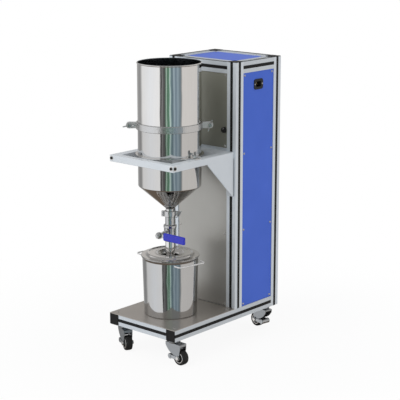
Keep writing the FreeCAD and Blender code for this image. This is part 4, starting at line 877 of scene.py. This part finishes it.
def wing_nut(name, bolt, hub, height, span, rise, place):
    """A wing nut that seats on the place's plane."""
    bore, root = bolt + 0.2, bolt + 1.4
    wing = [
        (root, height * 0.16), (hub, height * 0.14), (span * 0.62, rise * 0.26), (span * 0.84, rise * 0.46),
        (span * 0.97, rise * 0.68), (span, rise * 0.82), (span * 0.95, rise * 0.95), (span * 0.84, rise),
        (span * 0.7, rise * 0.96), (span * 0.54, rise * 0.84), (hub * 0.95, height * 0.86),
        (root, height * 0.84),
    ]
    nut = bmesh.new()
    spin(nut, [(bore, 0), (hub, 0), (hub, height * 0.2), (hub - 0.5, height * 0.45),
               (hub - 1.6, height * 0.9), (hub - 2, height), (bore, height)], place, 36)
    for side in (-1, 1):
        prism(nut, [(x * side, z) for x, z in wing], -1.5, 1.5, place @ at(tip=90))
    piece(name + "_cast", nut, clamp_polish, name, [name], soften=0.9, steps=3)


nut_seat = -ear_outer - 0.3
for name, side, turn in (("clamp_nut_left", -1, 8), ("clamp_nut_right", 1, 70)):
    seat = clamp_place(clamp_level) @ at(ear_distance * side, nut_seat, 0, tip=90)
    wing_nut(name, bolt=4, hub=7.5, height=10, span=22, rise=17.5, place=seat @ at(turn=turn))


# Outlet clamp: a small clamp of the same kind that holds the valve to the ferrule under the cone.
# Its halves are cast with three knuckles that make a hinge opposite the ears.

def soft_disc(inner, radius, low, high):
    """The outline of a turned disc with a small chamfer on both rims."""
    return [(inner, low), (radius - 0.4, low), (radius, low + 0.4), (radius, high - 0.4),
            (radius - 0.4, high), (inner, high)]


outlet_clamp = bmesh.new()
for side in (-1, 1):
    clamp_half(outlet_clamp, side, rim=ferrule, half_height=10, distance=outlet_ear, ear=7, ears=(1,),
               place=clamp_place(outlet_level))
for low, high in ((-10, -4), (-3.6, 3.6), (4, 10)):
    spin(outlet_clamp, soft_disc(0, 5, low, high), clamp_place(outlet_level) @ at(-25.4), 24)
outlet_clamp_set = piece("outlet_clamp_set", outlet_clamp, clamp_polish, "machine",
                         ["outlet_clamp"], soften=0.6, sharp=45)
cast_ears(outlet_clamp_set, reach=22.5)
outlet_seat = clamp_place(outlet_level) @ at(outlet_ear, nut_seat, 0, tip=90)
wing_nut("outlet_nut", bolt=3, hub=5, height=7, span=15, rise=12, place=outlet_seat @ at(turn=55))


# Ball valve: a three-piece cast stainless body, machined and polished, with a turned bonnet for the stem.
# Four long bolts draw its end caps together, and its upper neck ends in the clamped ferrule.

def rod(radius, low, high):
    """The outline of a plain turned rod."""
    return [(0, low), (radius, low), (radius, high), (0, high)]


valve_steel = polished("valve_steel", 0.62, 0.06, waves=2.0, warmth=0.0, wave_scale=50)
valve_foot, stem_level = 393, 422
valve = bmesh.new()
spin(valve, [
    (12, outlet_level), (ferrule, outlet_level), (ferrule, 487.4), (18.4, 486.6), (17, 484.6), (17, 453),
    (18, 451.6), (21.5, 451), (23, 449.6), (23, 441.5), (22.4, 440.5), (19.6, 440), (19, 439), (19, 405),
    (19.6, 404), (22.4, 403.5), (23, 402.5), (23, 394.4), (21.6, valve_foot), (12, valve_foot),
], vessel_axis, 96)
spin(valve, [(5.1, 15), (11, 15), (11, 30), (10.4, 31), (8.6, 31.6), (8.4, 38), (9.4, 38.6), (9.4, 40.4),
             (8.8, 41), (5.1, 41)], at(0, vessel_row, stem_level, tip=90), 48)
for corner in (45, 135, 225, 315):
    place = vessel_axis @ at(turn=corner) @ at(19.4)
    spin(valve, rod(2.2, 395, 449), place, 18)
    for level in (393.2, 447.2):
        spin(valve, rod(3.2, level, level + 3.6), place, 24, shape=six_sided(1, 2))
piece("valve_casting", valve, valve_steel, "machine", ["valve_body"], soften=0.3, sharp=35)


# Valve lever: a flat stainless bar on the stem, held by a nut, with a dipped blue plastic grip.
# The ball and stem turn with it.

dress(valve_steel, "valve_ball", "valve_lever")
grip_blue = Finish("grip_blue", {"Coat Roughness": 0.2, "Subsurface Weight": 0.05})
dimple = grip_blue.noise(500, detail=3)
rub = grip_blue.noise(40)
grip_blue.set({
    "Base Color": grip_blue.mix(rub, (0.008, 0.012, 0.40), (0.018, 0.030, 0.56)),
    "Roughness": 0.3 + rub * 0.12,
    "Coat Weight": 0.25 + rub * 0.1,
})
grip_blue.relief(dimple, 0.0001)
grip = bmesh.new()
prism(grip, rounded(98, 27, 5, 8), -4.5, 4.5, at(71, -192, stem_level, tip=90))
piece("lever_grip", grip, grip_blue, "valve", ["lever_sleeve"], soften=3, steps=5, sharp=30)
lock_nut = bmesh.new()
spin(lock_nut, [(5, 0), (10, 0), (10.2, 0.8), (9.1, 1.6), (9.1, 6.4), (8.6, 7.8), (7.2, 8.8), (5, 9)],
     at(0, -194, stem_level, tip=90), 48, shape=six_sided(3, 4))
piece("lever_lock_nut", lock_nut, valve_steel, "valve", ["lever_nut"], sharp=25)


# Outlet pipe: a short polished stainless tube fixed to the valve's foot.
# It leads through the lid's hole into the pot, and its mouth is rounded.

pipe = bmesh.new()
spin(pipe, [(16.6, valve_foot), (17, 392.6), (17, 336.5), (16.6, 336), (15.8, 336), (15.5, 336.4),
            (15.5, valve_foot)], vessel_axis, 96)
piece("outlet_tube", pipe, mirror, "machine", ["outlet_pipe"])


# Pot: deep-drawn stainless with a rolled rim, bright inside and out. It stands on the deck.
# Its two handles are loops of pale round wire, welded to the wall.

pot_steel = polished("pot_steel", 0.66, 0.04, waves=1.6, warmth=0.0)
pot = bmesh.new()
spin(pot, [
    (0, 132.4), (86, 132.4), (90, 132), (92, 132.6), (93.2, 134.4), (98.4, 331), (99, 334), (100.6, 337),
    (102.2, 338.8), (103, 340.6), (102.8, 342), (101.6, 343), (100, 342.8), (98.4, 341), (97.4, 337),
    (97.2, 331), (91.9, 137), (90.4, 134.4), (88, 133.4), (0, 133.4),
], vessel_axis, smooth_turn)
piece("pot_body", pot, pot_steel, "pot", ["pot"], sharp=60)

handle_wire = plated("handle_wire", 0.96, 0.3)
handle_wire.set({"Metallic": 0.5})
handle_level, handle_bend = 330, 12
quarter_turn = [radians(step * 15) for step in range(7)]
loop = [(97.8, -56)]
loop += [(114 + handle_bend * sin(angle), -44 - handle_bend * cos(angle)) for angle in quarter_turn]
loop += [(x, -y) for x, y in reversed(loop)]
for side, turn in (("right", -10), ("left", 170)):
    wire = bpy.data.curves.new(f"pot_handle_{side}", "CURVE")
    wire.dimensions = "3D"
    wire.bevel_depth = 0.0025
    wire.bevel_resolution = 5
    wire.use_fill_caps = True
    line = wire.splines.new("POLY")
    line.points.add(len(loop) - 1)
    for point, (x, y) in zip(line.points, loop):
        spot = vessel_axis @ at(turn=turn) @ Vector((x, y, handle_level))
        point.co = (*(spot / 1000), 1)
    line.use_smooth = True
    wire.materials.append(handle_wire.made)
    handle = bpy.data.objects.new(wire.name, wire)
    scene.collection.objects.link(handle)
    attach(handle, "pot")
    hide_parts("pot_handles")


# Lid: pressed stainless with a raised ring and a sunk middle. It lies on the pot's rim by its skirt.
# The pipe passes through a funnel-like hole in its middle.

lid_steel = polished("lid_steel", 0.80, 0.05, waves=1.6, warmth=0.03, wave_scale=20)
lid = bmesh.new()
spin(lid, [
    (101.4, 343), (102, 343.4), (102, 343.9), (101.4, 344.2), (88, 344.3), (85.6, 345.2), (83.4, 349.4),
    (82, 352), (80, 353.2), (78.2, 352.6), (76, 350.4), (74, 349.3), (56, 349.2), (52, 350.4),
    (49.5, 351.6), (47.6, 351.6), (45, 350.2), (42, 347.6), (38, 343.9), (35.4, 341), (34.6, 339),
    (35.6, 338.8), (36.4, 340.4), (38.9, 343), (42.8, 346.6), (45.6, 349), (47.9, 350.4), (49.2, 350.4),
    (51.8, 349.3), (55.8, 348), (74.6, 348), (76.8, 349.4), (78.6, 351.4), (80, 352), (81.2, 351.2),
    (82.6, 348.6), (84.8, 344), (87.8, 343.1), (95.8, 343), (95.8, 337), (97, 337), (97, 343),
], vessel_axis, smooth_turn)
piece("lid_pressing", lid, lid_steel, "lid", ["pot_lid"], sharp=60)


# Ring wing nuts: the same cast nuts with shorter wings, upright on the ring's studs.
# They hold the vessel's lugs down on the bracket.

for name, spot in zip(("ring_nut_right", "ring_nut_left"), ring_studs):
    wing_nut(name, bolt=4, hub=7, height=9, span=15, rise=16, place=at(*spot, ring_top + 0.3))


# Caster plates: pressed steel plates screwed under the base rails, with a ball race and a kingpin.
# Bright zinc plate with a faint grain, dulled by handling.

zinc = plated("caster_zinc", 0.48, 0.28, -0.04)
casters = {
    "front_left": (-120, -247, -28),
    "front_right": (120, -247, -3),
    "rear_left": (-120, 247, 177),
    "rear_right": (120, 247, 170),
}
mounts = bmesh.new()
for x, y, _ in casters.values():
    place = at(x, y)
    prism(mounts, rounded(50, 50, 5), 87.5, 90, place)
    spin(mounts, [(0, 87.6), (21, 87.6), (20.6, 84.4), (19, 82.4), (17, 81.5), (0, 81.5)], place, 60)
    spin(mounts, [(0, 81.6), (5, 81.6), (5, 69.9), (8, 69.9), (8, 67.9), (7, 66.9), (0, 66.9)], place, 36)
    for side_x in (-18, 18):
        for side_y in (-18, 18):
            spin(mounts, rod(3.4, 87.6, 85.2), place @ at(side_x, side_y), 24, shape=six_sided(1, 2))
piece("caster_plates", mounts, zinc, "machine", ["caster_mounts"], soften=0.4, sharp=30)


# Casters: a pressed zinc-plated fork, a black wheel, and a zinc-plated brake pedal with a round foot.
# Each fork turns on its kingpin, and each wheel and pedal on the axle.

tyre_rubber = black_plastic("tyre_rubber", 0.012, 0.5)
hub_plastic = black_plastic("hub_black", 0.02, 0.35)
pedal_zinc = plated("pedal_zinc", 0.56, 0.2, -0.03)
shoe_zinc = plated("brake_shoe_zinc", 0.42, 0.3, 0.12)
leg_outline = [
    (-28, 75.2), (-28, 67), (-25.6, 61), (-17, 50.4), (-9, 43.4), (0, 38.6), (12, 33.5), (20, 29),
    (24, 23.5), (28, 19.2), (32, 18), (35.5, 19.8), (37.4, 24), (37.8, 30), (38.6, 42), (41, 56), (42, 66),
    (42, 75.2),
]
arm_outline = [(-6, 20.5), (20, 21.5), (32, 22), (32, 32), (20, 32.5), (-6, 33.5)]
trail, axle_level = 32, 27
for name, (x, y, turn) in casters.items():
    swivel = at(x, y, 0, turn)
    upright = swivel @ at(tip=90)
    axle = swivel @ at(trail, 0, axle_level, tip=90)

    fork = bmesh.new()
    for side in (-1, 1):
        prism(fork, leg_outline, *sorted((-13.5 * side, -16 * side)), upright)
    prism(fork, rectangle(-28, -15, 42, 15), 70.2, 75.2, swivel)
    prism(fork, rectangle(39.5, -15, 42, 15), 66.5, 71, swivel)
    spin(fork, [(0, 74.6), (18.4, 74.6), (20, 75.6), (21, 77.4), (21, 80.4), (20, 81.2), (0, 81.2)],
         swivel, 60)
    spin(fork, rod(4, -18.7, 18.7), axle, 30)
    piece(name + "_fork_pressing", fork, zinc, name + "_swivel", [name + "_fork"],
          soften=0.9, steps=3)
    bolt = bmesh.new()
    for side in (-1, 1):
        spin(bolt, [(0, 18.6), (6.4, 18.6), (6.4, 20.8), (5.6, 21.6), (0, 21.6)],
             axle @ at(tip=90 - 90 * side), 24, shape=six_sided(1, 2))
    piece(name + "_axle_bolt", bolt, screw_plating, name + "_swivel", sharp=30)
    shoe = bmesh.new()
    prism(shoe, [(0, 70.4), (0, 56), (6, 49), (11, 49), (13, 70.4)], -11, 11, upright)
    piece(name + "_brake_shoe", shoe, shoe_zinc, name + "_swivel", soften=0.8)

    tyre = bmesh.new()
    spin(tyre, [
        (20, -11), (20.8, -11.8), (23.4, -12), (25.4, -11), (26.6, -8.4), (27, -4), (27, 4), (26.6, 8.4),
        (25.4, 11), (23.4, 12), (20.8, 11.8), (20, 11),
    ], axle, 96)
    piece(name + "_tyre", tyre, tyre_rubber, name + "_wheel", [name + "_wheel"], sharp=60)
    hub = bmesh.new()
    spin(hub, [
        (4.1, -13.1), (8.4, -13.1), (9, -12.4), (9.4, -5), (17.4, -4), (18, -10.4), (18.8, -11.2),
        (20.1, -11.2), (20.1, 11.2), (18.8, 11.2), (18, 10.4), (17.4, 4), (9.4, 5), (9, 12.4), (8.4, 13.1),
        (4.1, 13.1),
    ], axle, 72)
    for spoke in range(6):
        prism(hub, rectangle(8.6, -1, 17.8, 1), -9, 9, axle @ at(turn=60 * spoke))
    piece(name + "_hub", hub, hub_plastic, name + "_wheel", soften=0.3, sharp=35)
    guards = bmesh.new()
    for side in (-1, 1):
        spin(guards, [(15.8, 10.2), (18.9, 10.2), (18.9, 11.8), (18.3, 12.4), (16.4, 12.4), (15.8, 11.8)],
             axle @ at(tip=90 - 90 * side), 72)
    piece(name + "_wheel_guards", guards, screw_plating, name + "_wheel", sharp=50)

    pedal = bmesh.new()
    for side in (-1, 1):
        low, high = sorted((16.3 * side, 18.3 * side))
        prism(pedal, arm_outline, -high, -low, upright)
        spin(pedal, soft_disc(4.1, 9, low, high), axle, 48)
    spin(pedal, [(0, -18.3), (8.4, -18.3), (9.5, -17), (9.5, 17), (8.4, 18.3), (0, 18.3)],
         swivel @ at(-6, 0, axle_level, tip=90), 48)
    piece(name + "_brake_pedal", pedal, pedal_zinc, name + "_pedal", [name + "_pedal"],
          soften=0.6, steps=3)
